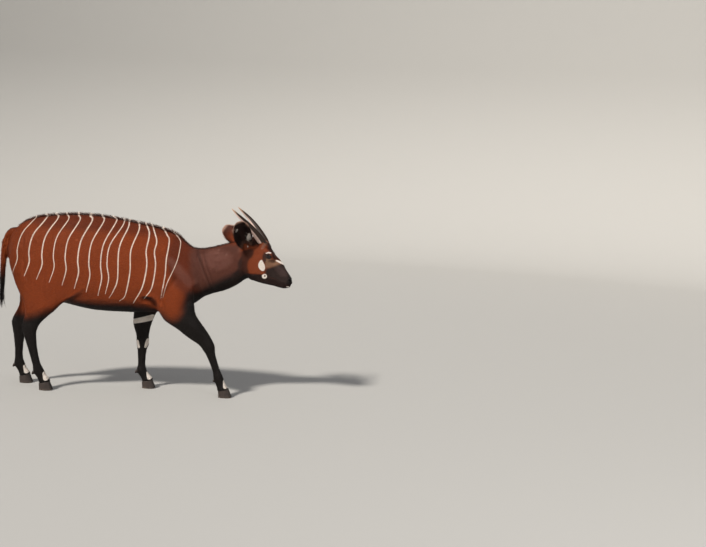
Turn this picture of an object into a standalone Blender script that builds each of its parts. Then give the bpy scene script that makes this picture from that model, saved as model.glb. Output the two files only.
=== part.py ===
"""A young bongo antelope as a still, life-size model, walking, with its head low and turned a little.

Metres, +Z up. +X is the way it walks, -Y its right side. The soles stand on Z = 0 under the
middle of the whole model.
"""

import math
import random

import bmesh
import bpy
import numpy as np
from mathutils import Matrix, Vector

# Driving sizes of the animal
SHOULDER_Z = 1.10  # top of the withers, in this striding stance
HEAD_TURN = math.radians(-6.5)  # the head looks a little to the animal's right
TURN_FROM_X, TURN_TO_X = 0.36, 0.64  # the neck bends between these
TURN_PIVOT = Vector((0.48, 0.0, 0.0))

# Sizes of the mesh and of the joints between the nodes
SEAM = 0.0004
BODY_VOXEL = 0.0085
HEAD_VOXEL = 0.0036
BODY_TRIANGLES = 4900
HEAD_TRIANGLES = 2200
BODY_ENDS_X, HEAD_STARTS_X = 0.70, 0.60  # the body and the head overlap between these until they are cut

# Eyes
EYE_CENTRE = Vector((0.827, 0.0530, 0.958))
EYE_R = 0.0205
EYE_SLIT_HALF_LENGTH = 0.0178
EYE_SLIT_HALF_HEIGHT = 0.0128
EYE_TILT = math.radians(-28)
LID_UPPER, LID_LOWER = 0.0042, 0.0030

# Horns and ears, on the left side before the head turns
HORN_LINE = [
    # along the horn: x, y, z, radius
    (0.798, 0.026, 0.990, 0.0225),
    (0.790, 0.034, 1.022, 0.0258),
    (0.776, 0.043, 1.052, 0.0252),
    (0.752, 0.056, 1.086, 0.0236),
    (0.711, 0.078, 1.136, 0.0200),
    (0.663, 0.099, 1.186, 0.0148),
    (0.618, 0.109, 1.226, 0.0096),
    (0.578, 0.108, 1.262, 0.0030),
]
HORN_TWIST = math.radians(210)
EAR_LENGTH = 0.238
EAR_ROOT = Vector((0.682, 0.066, 0.992))
NEAR_EAR_AXIS, NEAR_EAR_OPENING = Vector((-0.037, -0.133, 0.190)), Vector((0.35, -0.95, 0.05))
FAR_EAR_AXIS, FAR_EAR_OPENING = Vector((-0.208, 0.040, 0.138)), Vector((0.10, 0.95, 0.10))
EAR_SECTIONS = [
    # share of the length, half width, depth of the cup, thickness
    (0.00, 0.021, 0.026, 0.0075),
    (0.10, 0.034, 0.037, 0.0065),
    (0.25, 0.049, 0.042, 0.0055),
    (0.42, 0.0585, 0.039, 0.0050),
    (0.60, 0.0605, 0.032, 0.0046),
    (0.76, 0.0560, 0.023, 0.0042),
    (0.89, 0.0440, 0.013, 0.0038),
    (0.97, 0.0285, 0.006, 0.0034),
    (1.00, 0.0150, 0.003, 0.0030),
]

# A hoof's two claws
SOLE_LENGTH, SOLE_WIDTH = 0.086, 0.035
CORONET_LENGTH, CORONET_WIDTH = 0.068, 0.032
CORONET_Z = 0.052
CORONET_TILT = math.radians(12)
CLEFT_HALF = 0.0185
CLAW_SPLAY = math.radians(4)

# Each row of hair locks: along the back, and round the tail's end
CREST_FROM_X, CREST_TO_X, CREST_LOCKS = 0.235, -0.780, 43
CREST_LENGTH, CREST_WIDTH, CREST_THICK, CREST_RISE = 0.052, 0.013, 0.0045, 0.015
TUFT_LOCKS, TUFT_FROM_Z, TUFT_TO_Z = 16, 0.730, 0.640
TUFT_LENGTH, TUFT_WIDTH, TUFT_THICK = 0.095, 0.012, 0.0045

# Each row is one cross-section: name, upper or front point (x, z), lower or rear point (x, z),
# middle y, half width, taper towards the first point, squareness (2 is an ellipse)
TRUNK = [
    ("buttock end", -0.925, 0.985, -0.915, 0.850, 0.0, 0.060, 0.00, 2.0),
    ("buttock", -0.895, 1.060, -0.885, 0.760, 0.0, 0.105, 0.10, 2.1),
    ("croup", -0.805, 1.128, -0.800, 0.680, 0.0, 0.142, 0.15, 2.1),
    ("hip", -0.670, 1.158, -0.660, 0.610, 0.0, 0.160, 0.12, 2.2),
    ("loin", -0.520, 1.173, -0.510, 0.568, 0.0, 0.175, 0.08, 2.2),
    ("paunch", -0.340, 1.172, -0.335, 0.538, 0.0, 0.198, 0.14, 2.2),
    ("barrel", -0.160, 1.150, -0.160, 0.533, 0.0, 0.200, 0.20, 2.15),
    ("girth", 0.010, 1.121, 0.000, 0.536, 0.0, 0.182, 0.26, 2.1),
    ("withers", 0.125, 1.095, 0.120, 0.548, 0.0, 0.158, 0.30, 2.1),
    ("shoulder", 0.215, 1.062, 0.230, 0.562, 0.0, 0.130, 0.25, 2.1),
    ("breast", 0.280, 1.000, 0.305, 0.590, 0.0, 0.102, 0.10, 2.0),
    ("breast end", 0.315, 0.940, 0.345, 0.640, 0.0, 0.066, 0.00, 2.0),
]
NECK = [
    ("inside the chest", 0.090, 1.070, 0.200, 0.600, 0.0, 0.135, 0.25, 2.1),
    ("neck root", 0.225, 1.046, 0.315, 0.600, 0.0, 0.120, 0.20, 2.0),
    ("lower neck", 0.298, 0.993, 0.384, 0.652, 0.0, 0.104, 0.12, 2.0),
    ("dewlap", 0.372, 0.986, 0.446, 0.682, 0.0, 0.098, 0.08, 2.0),
    ("mid neck", 0.452, 1.000, 0.524, 0.706, 0.0, 0.090, 0.05, 2.0),
    ("upper neck", 0.535, 1.024, 0.594, 0.740, 0.0, 0.084, 0.02, 2.0),
    ("throat", 0.615, 1.045, 0.652, 0.782, 0.0, 0.076, 0.00, 2.0),
    ("inside the head", 0.675, 1.050, 0.700, 0.840, 0.0, 0.062, 0.00, 2.0),
]
HEAD = [
    ("occiput", 0.655, 1.030, 0.664, 0.850, 0.0, 0.050, 0.00, 2.0),
    ("poll", 0.700, 1.064, 0.695, 0.797, 0.0, 0.066, 0.00, 2.1),
    ("horn level", 0.755, 1.068, 0.730, 0.780, 0.0, 0.070, -0.08, 2.5),
    ("brow", 0.803, 1.046, 0.766, 0.770, 0.0, 0.066, -0.20, 2.9),
    ("under the eye", 0.836, 0.999, 0.800, 0.762, 0.0, 0.056, -0.16, 2.8),
    ("cheek", 0.866, 0.959, 0.834, 0.756, 0.0, 0.046, -0.06, 2.6),
    ("mid muzzle", 0.896, 0.923, 0.868, 0.751, 0.0, 0.039, 0.00, 2.4),
    ("nose bridge", 0.926, 0.885, 0.900, 0.747, 0.0, 0.035, 0.02, 2.3),
    ("upper lip", 0.951, 0.850, 0.928, 0.745, 0.0, 0.035, 0.00, 2.4),
    ("nose", 0.970, 0.822, 0.954, 0.748, 0.0, 0.031, -0.05, 2.4),
    ("nose end", 0.979, 0.800, 0.972, 0.765, 0.0, 0.018, 0.00, 2.2),
]
FORELEG_RIGHT = [
    ("top of the blade", 0.190, 1.010, 0.060, 0.995, -0.060, 0.036, 0.0, 2.0),
    ("blade", 0.272, 0.860, 0.045, 0.850, -0.100, 0.050, 0.0, 2.0),
    ("point of shoulder", 0.325, 0.725, 0.055, 0.700, -0.108, 0.056, 0.0, 2.0),
    ("upper arm", 0.340, 0.625, 0.085, 0.580, -0.112, 0.056, 0.0, 2.0),
    ("elbow", 0.350, 0.560, 0.140, 0.500, -0.113, 0.052, 0.0, 2.0),
    ("forearm top", 0.376, 0.512, 0.222, 0.452, -0.114, 0.047, 0.0, 2.0),
    ("forearm", 0.418, 0.457, 0.300, 0.395, -0.111, 0.040, 0.0, 2.0),
    ("forearm low", 0.455, 0.404, 0.374, 0.348, -0.109, 0.034, 0.0, 2.0),
    ("knee", 0.483, 0.349, 0.404, 0.314, -0.108, 0.036, 0.0, 2.3),
    ("under the knee", 0.490, 0.298, 0.432, 0.274, -0.108, 0.028, 0.0, 2.2),
    ("cannon", 0.511, 0.235, 0.459, 0.216, -0.108, 0.0225, 0.0, 2.0),
    ("cannon low", 0.531, 0.182, 0.480, 0.164, -0.108, 0.0240, 0.0, 2.0),
    ("fetlock", 0.552, 0.142, 0.486, 0.120, -0.108, 0.0310, 0.0, 2.2),
    ("pastern", 0.566, 0.104, 0.508, 0.076, -0.108, 0.0280, 0.0, 2.2),
    ("coronet", 0.588, 0.066, 0.516, 0.046, -0.108, 0.0350, 0.0, 2.4),
    ("inside the hoof", 0.596, 0.040, 0.520, 0.020, -0.108, 0.0350, 0.0, 2.4),
]
FORELEG_LEFT = [
    ("top of the blade", 0.170, 1.010, 0.040, 0.995, 0.060, 0.036, 0.0, 2.0),
    ("blade", 0.220, 0.860, -0.005, 0.850, 0.100, 0.050, 0.0, 2.0),
    ("point of shoulder", 0.235, 0.730, -0.045, 0.710, 0.108, 0.056, 0.0, 2.0),
    ("upper arm", 0.170, 0.640, -0.080, 0.620, 0.112, 0.054, 0.0, 2.0),
    ("elbow", 0.100, 0.565, -0.100, 0.575, 0.112, 0.051, 0.0, 2.0),
    ("forearm top", 0.050, 0.505, -0.105, 0.515, 0.110, 0.046, 0.0, 2.0),
    ("forearm", 0.020, 0.430, -0.102, 0.435, 0.107, 0.039, 0.0, 2.0),
    ("forearm low", 0.008, 0.362, -0.080, 0.365, 0.105, 0.033, 0.0, 2.0),
    ("knee", 0.006, 0.312, -0.076, 0.312, 0.103, 0.036, 0.0, 2.3),
    ("under the knee", -0.005, 0.262, -0.068, 0.262, 0.102, 0.028, 0.0, 2.2),
    ("cannon", -0.010, 0.205, -0.064, 0.205, 0.101, 0.0225, 0.0, 2.0),
    ("cannon low", -0.010, 0.158, -0.063, 0.156, 0.101, 0.0240, 0.0, 2.0),
    ("fetlock", -0.002, 0.122, -0.070, 0.118, 0.101, 0.0310, 0.0, 2.2),
    ("pastern", 0.016, 0.096, -0.040, 0.070, 0.101, 0.0280, 0.0, 2.2),
    ("coronet", 0.042, 0.066, -0.030, 0.046, 0.101, 0.0350, 0.0, 2.4),
    ("inside the hoof", 0.052, 0.040, -0.024, 0.020, 0.101, 0.0350, 0.0, 2.4),
]
HINDLEG_RIGHT = [
    ("rump", -0.560, 1.080, -0.830, 1.080, -0.062, 0.066, 0.0, 2.0),
    ("hip joint", -0.520, 0.950, -0.890, 0.960, -0.088, 0.074, 0.0, 2.1),
    ("thigh", -0.495, 0.820, -0.900, 0.850, -0.104, 0.074, 0.0, 2.1),
    ("lower thigh", -0.478, 0.710, -0.866, 0.745, -0.114, 0.066, 0.0, 2.1),
    ("stifle", -0.492, 0.625, -0.828, 0.655, -0.120, 0.056, 0.0, 2.1),
    ("gaskin top", -0.555, 0.560, -0.795, 0.590, -0.124, 0.048, 0.0, 2.0),
    ("gaskin", -0.625, 0.500, -0.785, 0.525, -0.120, 0.039, 0.0, 2.0),
    ("over the hock", -0.680, 0.445, -0.795, 0.470, -0.116, 0.031, 0.0, 2.0),
    ("hock", -0.705, 0.392, -0.805, 0.415, -0.114, 0.033, 0.0, 2.3),
    ("under the hock", -0.706, 0.335, -0.783, 0.345, -0.113, 0.029, 0.0, 2.2),
    ("hind cannon", -0.694, 0.250, -0.752, 0.245, -0.112, 0.0230, 0.0, 2.0),
    ("hind cannon low", -0.676, 0.178, -0.730, 0.168, -0.112, 0.0240, 0.0, 2.0),
    ("hind fetlock", -0.655, 0.138, -0.722, 0.120, -0.112, 0.0310, 0.0, 2.2),
    ("hind pastern", -0.636, 0.102, -0.692, 0.074, -0.112, 0.0280, 0.0, 2.2),
    ("hind coronet", -0.610, 0.066, -0.682, 0.046, -0.112, 0.0350, 0.0, 2.4),
    ("inside the hoof", -0.600, 0.040, -0.676, 0.020, -0.112, 0.0350, 0.0, 2.4),
]
HINDLEG_LEFT = [
    ("rump", -0.570, 1.080, -0.840, 1.080, 0.062, 0.066, 0.0, 2.0),
    ("hip joint", -0.540, 0.950, -0.900, 0.960, 0.088, 0.074, 0.0, 2.1),
    ("thigh", -0.530, 0.820, -0.918, 0.850, 0.104, 0.074, 0.0, 2.1),
    ("lower thigh", -0.530, 0.710, -0.910, 0.745, 0.114, 0.066, 0.0, 2.1),
    ("stifle", -0.560, 0.625, -0.893, 0.655, 0.120, 0.056, 0.0, 2.1),
    ("gaskin top", -0.645, 0.560, -0.885, 0.590, 0.124, 0.048, 0.0, 2.0),
    ("gaskin", -0.730, 0.500, -0.890, 0.527, 0.120, 0.039, 0.0, 2.0),
    ("over the hock", -0.800, 0.447, -0.915, 0.474, 0.116, 0.031, 0.0, 2.0),
    ("hock", -0.832, 0.392, -0.934, 0.418, 0.114, 0.033, 0.0, 2.3),
    ("under the hock", -0.842, 0.335, -0.921, 0.345, 0.113, 0.029, 0.0, 2.2),
    ("hind cannon", -0.852, 0.250, -0.910, 0.248, 0.112, 0.0230, 0.0, 2.0),
    ("hind cannon low", -0.853, 0.178, -0.908, 0.172, 0.112, 0.0240, 0.0, 2.0),
    ("hind fetlock", -0.842, 0.138, -0.910, 0.124, 0.112, 0.0310, 0.0, 2.2),
    ("hind pastern", -0.825, 0.102, -0.882, 0.076, 0.112, 0.0280, 0.0, 2.2),
    ("hind coronet", -0.800, 0.066, -0.872, 0.046, 0.112, 0.0350, 0.0, 2.4),
    ("inside the hoof", -0.790, 0.040, -0.866, 0.020, 0.112, 0.0350, 0.0, 2.4),
]
TAIL = [
    ("inside the rump", -0.860, 1.075, -0.850, 1.025, 0.0, 0.024, 0.0, 2.0),
    ("tail root", -0.915, 1.068, -0.897, 1.020, 0.0, 0.026, 0.0, 2.0),
    ("tail bend", -0.956, 1.025, -0.920, 0.998, 0.0, 0.023, 0.0, 2.0),
    ("tail upper", -0.973, 0.955, -0.938, 0.950, 0.0, 0.020, 0.0, 2.0),
    ("tail", -0.979, 0.840, -0.949, 0.838, 0.0, 0.016, 0.0, 2.0),
    ("tail lower", -0.980, 0.740, -0.957, 0.740, 0.0, 0.013, 0.0, 2.0),
    ("tail end", -0.978, 0.645, -0.962, 0.645, 0.0, 0.009, 0.0, 2.0),
]

# Muscles and bones that stand out: centre, half sizes, turn about Y in degrees, and both sides or not
BODY_BULGES = [
    ("hip bone", (-0.600, 0.097, 1.072), (0.070, 0.042, 0.046), 0),
    ("rib cage", (-0.230, 0.085, 0.830), (0.330, 0.118, 0.215), 4),
]
HEAD_BULGES = [
    ("jaw muscle", (0.738, 0.036, 0.872), (0.056, 0.031, 0.072), 20),
    ("orbit", (0.818, 0.0485, 0.957), (0.048, 0.0265, 0.030), 45),
    ("brow", (0.800, 0.046, 0.990), (0.040, 0.0240, 0.022), 50),
    ("horn pedicle", (0.783, 0.038, 1.019), (0.032, 0.032, 0.042), -32),
    ("ear base", (0.685, 0.042, 0.984), (0.048, 0.034, 0.046), 0),
    ("cheek bone", (0.850, 0.034, 0.912), (0.060, 0.018, 0.017), 45),
    ("nostril wing", (0.957, 0.019, 0.803), (0.018, 0.014, 0.020), 30),
    ("upper lip", (0.925, 0.020, 0.786), (0.042, 0.018, 0.020), 10),
    ("lower lip", (0.930, 0.010, 0.760), (0.040, 0.018, 0.013), 5),
]

BODY_ZONES = [
    ((0.33, 0.0, 0.60), 0.13),
    ((0.20, 0.10, 0.55), 0.10),
    ((0.20, -0.10, 0.55), 0.09),
    ((0.04, 0.12, 0.60), 0.12),
    ((0.08, -0.14, 0.56), 0.10),
    ((0.03, -0.15, 0.78), 0.20),
    ((-0.03, 0.15, 0.78), 0.20),
    ((0.28, 0.0, 1.00), 0.16),
    ((0.28, -0.10, 0.85), 0.18),
    ((0.26, 0.10, 0.85), 0.18),
    ((0.10, -0.08, 1.00), 0.16),
    ((0.10, 0.08, 1.00), 0.16),
    ((-0.50, -0.12, 0.66), 0.16),
    ((-0.55, 0.12, 0.66), 0.16),
    ((-0.50, -0.15, 0.88), 0.22),
    ((-0.52, 0.15, 0.88), 0.22),
    ((-0.75, 0.0, 0.66), 0.16),
    ((-0.88, 0.0, 0.80), 0.16),
    ((-0.60, -0.10, 1.10), 0.18),
    ((-0.60, 0.10, 1.10), 0.18),
    ((-0.84, 0.0, 1.05), 0.20),
    ((-0.23, -0.15, 0.83), 0.40),
    ((-0.23, 0.15, 0.83), 0.40),
]
HEAD_ZONES = [
    ((0.66, 0.0, 0.80), 0.08),
    ((0.64, 0.0, 1.03), 0.09),
    ((0.735, -0.06, 0.87), 0.12),
    ((0.735, 0.06, 0.87), 0.12),
    ((0.685, -0.06, 0.985), 0.11),
    ((0.685, 0.06, 0.985), 0.11),
    ((0.780, -0.05, 1.02), 0.06),
    ((0.780, 0.05, 1.02), 0.06),
    ((0.785, -0.05, 0.935), 0.05),
    ((0.785, 0.05, 0.935), 0.05),
    ((0.845, -0.03, 0.975), 0.035),
    ((0.845, 0.03, 0.975), 0.035),
    ((0.860, -0.04, 0.90), 0.07),
    ((0.860, 0.04, 0.90), 0.07),
    ((0.800, 0.0, 0.78), 0.09),
    ((0.900, 0.0, 0.86), 0.05),
]

# The cuts between the nodes: middle (x, z), length, slope in degrees from level, y range
CUTS = {
    "neck": ((0.318, 0.815), 0.62, -74, (-0.30, 0.30)),
    "head": ((0.640, 0.915), 0.44, -86, (-0.22, 0.22)),
    "foreleg_right": ((0.245, 0.522), 0.34, 17, (-0.26, -0.02)),
    "foreleg_left": ((-0.010, 0.516), 0.30, 0, (0.02, 0.26)),
    "hindleg_right": ((-0.665, 0.548), 0.36, -8, (-0.26, -0.01)),
    "hindleg_left": ((-0.755, 0.548), 0.36, -8, (0.01, 0.26)),
}
LEGS = {
    "foreleg_right": (FORELEG_RIGHT, 0.548),
    "foreleg_left": (FORELEG_LEFT, 0.004),
    "hindleg_right": (HINDLEG_RIGHT, -0.648),
    "hindleg_left": (HINDLEG_LEFT, -0.838),
}

MATERIALS = {
    # colour, roughness
    "coat": ((0.330, 0.085, 0.025), 0.60),
    "dark_coat": ((0.030, 0.018, 0.014), 0.60),
    "horn": ((0.085, 0.055, 0.038), 0.38),
    "hoof": ((0.030, 0.024, 0.020), 0.42),
    "eye": ((0.010, 0.006, 0.004), 0.08),
}
DARK_NODES = ("foreleg", "hindleg")


def clear_scene():
    for obj in list(bpy.data.objects):
        bpy.data.objects.remove(obj)


def material(name):
    found = bpy.data.materials.get(name)
    if found:
        return found
    colour, roughness = MATERIALS[name]
    made = bpy.data.materials.new(name)
    made.use_nodes = True
    shader = made.node_tree.nodes["Principled BSDF"]
    shader.inputs["Base Color"].default_value = (*colour, 1.0)
    shader.inputs["Roughness"].default_value = roughness
    return made


def new_object(name, bm):
    mesh = bpy.data.meshes.new(name)
    bm.to_mesh(mesh)
    bm.free()
    obj = bpy.data.objects.new(name, mesh)
    bpy.context.scene.collection.objects.link(obj)
    return obj


def apply_modifiers(obj):
    """Replaces the object's mesh by what its modifiers make of it."""
    graph = bpy.context.evaluated_depsgraph_get()
    mesh = bpy.data.meshes.new_from_object(obj.evaluated_get(graph))
    obj.modifiers.clear()
    old = obj.data
    obj.data = mesh
    bpy.data.meshes.remove(old)
    return obj


def smooth_step(value, low, high):
    share = min(max((value - low) / (high - low), 0.0), 1.0)
    return share * share * (3 - 2 * share)


def turned(point):
    """A point of the straight head and neck, carried round by the turn of the head."""
    share = smooth_step(point[0], TURN_FROM_X, TURN_TO_X)
    turn = Matrix.Rotation(HEAD_TURN * share, 3, "Z")
    return turn @ (Vector(point) - TURN_PIVOT) + TURN_PIVOT


def turned_with_head(point):
    turn = Matrix.Rotation(HEAD_TURN, 3, "Z")
    return turn @ (Vector(point) - TURN_PIVOT) + TURN_PIVOT


def between(rows, steps):
    """The rows of numbers with a smooth curve's steps added between each two."""
    rows = np.array(rows, float)
    padded = np.vstack([2 * rows[0] - rows[1], rows, 2 * rows[-1] - rows[-2]])
    out = []
    for i in range(len(rows) - 1):
        p0, p1, p2, p3 = padded[i : i + 4]
        for k in range(steps):
            t = k / steps
            out.append(
                p1
                + 0.5 * t * (p2 - p0)
                + t * t * (p0 - 2.5 * p1 + 2 * p2 - 0.5 * p3)
                + t**3 * (1.5 * (p1 - p2) + 0.5 * (p3 - p0))
            )
    out.append(rows[-1])
    return np.array(out)


def section_points(row, segments):
    """The points round one cross-section row, without its name."""
    ax, az, bx, bz, y, half_width, taper, power = row
    points = []
    for k in range(segments):
        angle = 2 * math.pi * k / segments
        across, along = math.cos(angle), math.sin(angle)
        across = math.copysign(abs(across) ** (2 / power), across)
        along = math.copysign(abs(along) ** (2 / power), along)
        across *= half_width * (1 - taper * along)
        mid_x, mid_z = (ax + bx) / 2, (az + bz) / 2
        points.append(
            Vector((mid_x + along * (ax - bx) / 2, y + across, mid_z + along * (az - bz) / 2))
        )
    return points


def skin_rings(bm, rings):
    """Joins rings of points into one closed tube with rounded-off ends."""
    made = [[bm.verts.new(p) for p in ring] for ring in rings]
    count = len(rings[0])
    for low, high in zip(made, made[1:]):
        for k in range(count):
            bm.faces.new((low[k], low[(k + 1) % count], high[(k + 1) % count], high[k]))
    for ring, inner in ((made[0], rings[1]), (made[-1], rings[-2])):
        own = sum((v.co for v in ring), Vector()) / count
        next_one = sum(inner, Vector()) / count
        reach = min((v.co - own).length for v in ring) * 0.5
        tip = bm.verts.new(own + (own - next_one).normalized() * reach)
        for k in range(count):
            bm.faces.new((ring[k], ring[(k + 1) % count], tip))
    bmesh.ops.recalc_face_normals(bm, faces=bm.faces)


def loft(rows, segments=36, steps=5):
    bm = bmesh.new()
    numbers = between([row[1:] for row in rows], steps)
    skin_rings(bm, [section_points(row, segments) for row in numbers])
    return bm


def ellipsoid(centre, sizes, turn_degrees, fineness=3):
    bm = bmesh.new()
    matrix = (
        Matrix.Translation(centre)
        @ Matrix.Rotation(math.radians(turn_degrees), 4, "Y")
        @ Matrix.Diagonal((*sizes, 1.0))
    )
    bmesh.ops.create_icosphere(bm, subdivisions=fineness, radius=1.0, matrix=matrix)
    return bm


def add_to(target, source):
    """Adds one bmesh's shape to another."""
    mesh = bpy.data.meshes.new("piece")
    source.to_mesh(mesh)
    source.free()
    target.from_mesh(mesh)
    bpy.data.meshes.remove(mesh)


def both_sides(centre, sizes, turn_degrees):
    x, y, z = centre
    return [ellipsoid((x, side * y, z), sizes, turn_degrees) for side in (1, -1)]


def neighbours(mesh):
    edges = np.empty(len(mesh.edges) * 2, np.int64)
    mesh.edges.foreach_get("vertices", edges)
    edges = edges.reshape(-1, 2)
    ends = np.concatenate([edges[:, 0], edges[:, 1]])
    others = np.concatenate([edges[:, 1], edges[:, 0]])
    return ends, others


def mean_step(points, ends, others):
    """From each point to the mean of its neighbours."""
    count = np.maximum(np.bincount(ends, minlength=len(points)), 1)
    sums = [np.bincount(ends, points[others, k], len(points)) for k in range(3)]
    return np.stack(sums, 1) / count[:, None] - points


def relax(obj, rounds, zones=(), zone_rounds=0):
    """Evens out the mesh without shrinking it, and melts the forms together inside the zones."""
    mesh = obj.data
    points = np.empty(len(mesh.vertices) * 3)
    mesh.vertices.foreach_get("co", points)
    points = points.reshape(-1, 3)
    ends, others = neighbours(mesh)
    melt = np.zeros(len(points))
    for centre, reach in zones:
        away = np.linalg.norm(points - np.array(centre), axis=1) / reach
        melt = np.maximum(melt, np.clip(1.5 * (1 - away), 0, 1))
    for _ in range(zone_rounds):
        points += 0.6 * melt[:, None] * mean_step(points, ends, others)
    for _ in range(rounds):
        points += 0.60 * mean_step(points, ends, others)
        points -= 0.62 * mean_step(points, ends, others)
    mesh.vertices.foreach_set("co", points.ravel())
    mesh.update()


def remeshed(obj, voxel):
    modifier = obj.modifiers.new("one skin", "REMESH")
    modifier.mode = "VOXEL"
    modifier.voxel_size = voxel
    return apply_modifiers(obj)


def thinned(obj, triangles):
    modifier = obj.modifiers.new("fewer faces", "DECIMATE")
    modifier.ratio = min(1.0, triangles / (2 * len(obj.data.polygons)))
    modifier.use_collapse_triangulate = True
    return apply_modifiers(obj)


def turn_mesh(obj):
    for vertex in obj.data.vertices:
        vertex.co = turned(vertex.co)


def kept_from(obj, x, direction):
    """Cuts off all that lies behind the upright plane at x, and closes the cut."""
    bm = bmesh.new()
    bm.from_mesh(obj.data)
    everything = list(bm.verts) + list(bm.edges) + list(bm.faces)
    bmesh.ops.bisect_plane(
        bm, geom=everything, plane_co=(x, 0, 0), plane_no=(-direction, 0, 0), clear_outer=True
    )
    edges = [e for e in bm.edges if e.is_boundary]
    bmesh.ops.triangle_fill(bm, edges=edges, use_beauty=True)
    bmesh.ops.recalc_face_normals(bm, faces=bm.faces)
    bm.to_mesh(obj.data)
    bm.free()
    return obj


def flesh(name, lofts, bulges, zones, voxel, zone_rounds):
    """One closed skin round the named lofts and bulges."""
    whole = bmesh.new()
    for rows in lofts:
        add_to(whole, loft(rows))
    for _, centre, sizes, turn_degrees in bulges:
        for piece in both_sides(centre, sizes, turn_degrees):
            add_to(whole, piece)
    obj = remeshed(new_object(name, whole), voxel)
    relax(obj, 14, zones, zone_rounds)
    return obj


def boolean(obj, other, operation, keep_other=False):
    modifier = obj.modifiers.new("cut", "BOOLEAN")
    modifier.operation = operation
    modifier.solver = "EXACT"
    modifier.object = other
    apply_modifiers(obj)
    if not keep_other:
        bpy.data.objects.remove(other)
    return obj


def slab(name):
    """The thin cut between two nodes, as a closed box that follows the turn of the head."""
    (x, z), length, slope, (low_y, high_y) = CUTS[name]
    along = Vector((math.cos(math.radians(slope)), 0, math.sin(math.radians(slope))))
    across = Vector((-along.z, 0, along.x)) * SEAM / 2
    bm = bmesh.new()
    corners = []
    for sign in (-1, 1):
        middle = Vector((x, 0, z)) + across * sign
        for reach in (-0.5, 0.5):
            for y in (low_y, high_y):
                corners.append(middle + along * length * reach + Vector((0, y, 0)))
    move = turned_with_head if name == "head" else turned if name == "neck" else Vector
    verts = [bm.verts.new(move(p)) for p in corners]
    for face in ((0, 1, 3, 2), (4, 6, 7, 5), (0, 4, 5, 1), (2, 3, 7, 6), (0, 2, 6, 4), (1, 5, 7, 3)):
        bm.faces.new([verts[k] for k in face])
    bmesh.ops.recalc_face_normals(bm, faces=bm.faces)
    return new_object(name + "_cut", bm)


def loose_parts(obj):
    """The closed surfaces of a mesh, each as an object of its own."""
    bm = bmesh.new()
    bm.from_mesh(obj.data)
    bm.verts.ensure_lookup_table()
    group = [-1] * len(bm.verts)
    groups = []
    for start in bm.verts:
        if group[start.index] >= 0:
            continue
        members = [start]
        group[start.index] = len(groups)
        for vertex in members:
            for edge in vertex.link_edges:
                other = edge.other_vert(vertex)
                if group[other.index] < 0:
                    group[other.index] = len(groups)
                    members.append(other)
        groups.append(set(v.index for v in members))
    made = []
    for members in groups:
        part = bm.copy()
        drop = [v for v in part.verts if v.index not in members]
        bmesh.ops.delete(part, geom=drop, context="VERTS")
        made.append(new_object("part", part))
    bm.free()
    return made


def middle_of(obj):
    return sum((v.co for v in obj.data.vertices), Vector()) / len(obj.data.vertices)


def volume_of(obj):
    bm = bmesh.new()
    bm.from_mesh(obj.data)
    volume = bm.calc_volume()
    bm.free()
    return volume


def largest(obj):
    """Keeps the largest closed surface of the object."""
    parts = sorted(loose_parts(obj), key=volume_of)
    name = obj.name
    bpy.data.objects.remove(obj)
    for scrap in parts[:-1]:
        bpy.data.objects.remove(scrap)
    parts[-1].name = name
    return parts[-1]


def inflated(obj, by):
    copy = obj.copy()
    copy.data = obj.data.copy()
    bpy.context.scene.collection.objects.link(copy)
    normals = [v.normal.copy() for v in copy.data.vertices]
    for vertex, normal in zip(copy.data.vertices, normals):
        vertex.co += normal * by
    return copy


def seat(obj, carrier):
    """Cuts the sunk root off a piece, so that it ends a seam's width from what carries it."""
    boolean(obj, inflated(carrier, SEAM), "DIFFERENCE")
    return largest(obj)


def split_body():
    """The torso, neck, tail, its end and the four legs, cut from one skin."""
    lofts = [TRUNK, NECK, HEAD] + [rows for rows, _ in LEGS.values()]
    body = flesh("body", lofts, BODY_BULGES, BODY_ZONES, BODY_VOXEL, 45)
    kept_from(body, BODY_ENDS_X, -1)
    turn_mesh(body)
    thinned(body, BODY_TRIANGLES)
    for name in CUTS:
        boolean(body, slab(name), "DIFFERENCE")
    for name, (_, hoof_x) in LEGS.items():
        boolean(body, hoof_space(name, hoof_x), "DIFFERENCE")
    nodes = {}
    targets = {
        "torso": Vector((-0.30, 0.0, 0.85)),
        "neck": Vector((0.48, 0.0, 0.86)),
        "foreleg_right": Vector((0.42, -0.11, 0.30)),
        "foreleg_left": Vector((-0.03, 0.10, 0.28)),
        "hindleg_right": Vector((-0.71, -0.11, 0.30)),
        "hindleg_left": Vector((-0.87, 0.11, 0.30)),
    }
    parts = [p for p in loose_parts(body) if volume_of(p) > 1e-6]
    bpy.data.objects.remove(body)
    for name, target in targets.items():
        best = min(parts, key=lambda part: (middle_of(part) - target).length)
        parts.remove(best)
        best.name = name
        nodes[name] = best
    for rest in list(bpy.data.objects):
        if rest.name.startswith("part"):
            bpy.data.objects.remove(rest)
    return nodes


def coronet_height(x, hoof_x):
    """The slanting line where the hair of the leg meets the hoof."""
    return CORONET_Z + (x - hoof_x) * math.tan(CORONET_TILT)


def hoof_space(name, hoof_x):
    """What is cut off a leg's end to make room for its hoof."""
    side = LEGS[name][0][-1][5]
    bm = bmesh.new()
    reach = 0.09
    rings = []
    for x in (hoof_x - reach, hoof_x + reach):
        top = coronet_height(x, hoof_x)
        rings.append([(x, side + reach, -0.05), (x, side - reach, -0.05),
                      (x, side - reach, top), (x, side + reach, top)])
    verts = [[bm.verts.new(p) for p in ring] for ring in rings]
    for k in range(4):
        j = (k + 1) % 4
        bm.faces.new((verts[0][k], verts[0][j], verts[1][j], verts[1][k]))
    bm.faces.new(verts[0])
    bm.faces.new(verts[1])
    bmesh.ops.recalc_face_normals(bm, faces=bm.faces)
    return new_object(name + "_room", bm)


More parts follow.
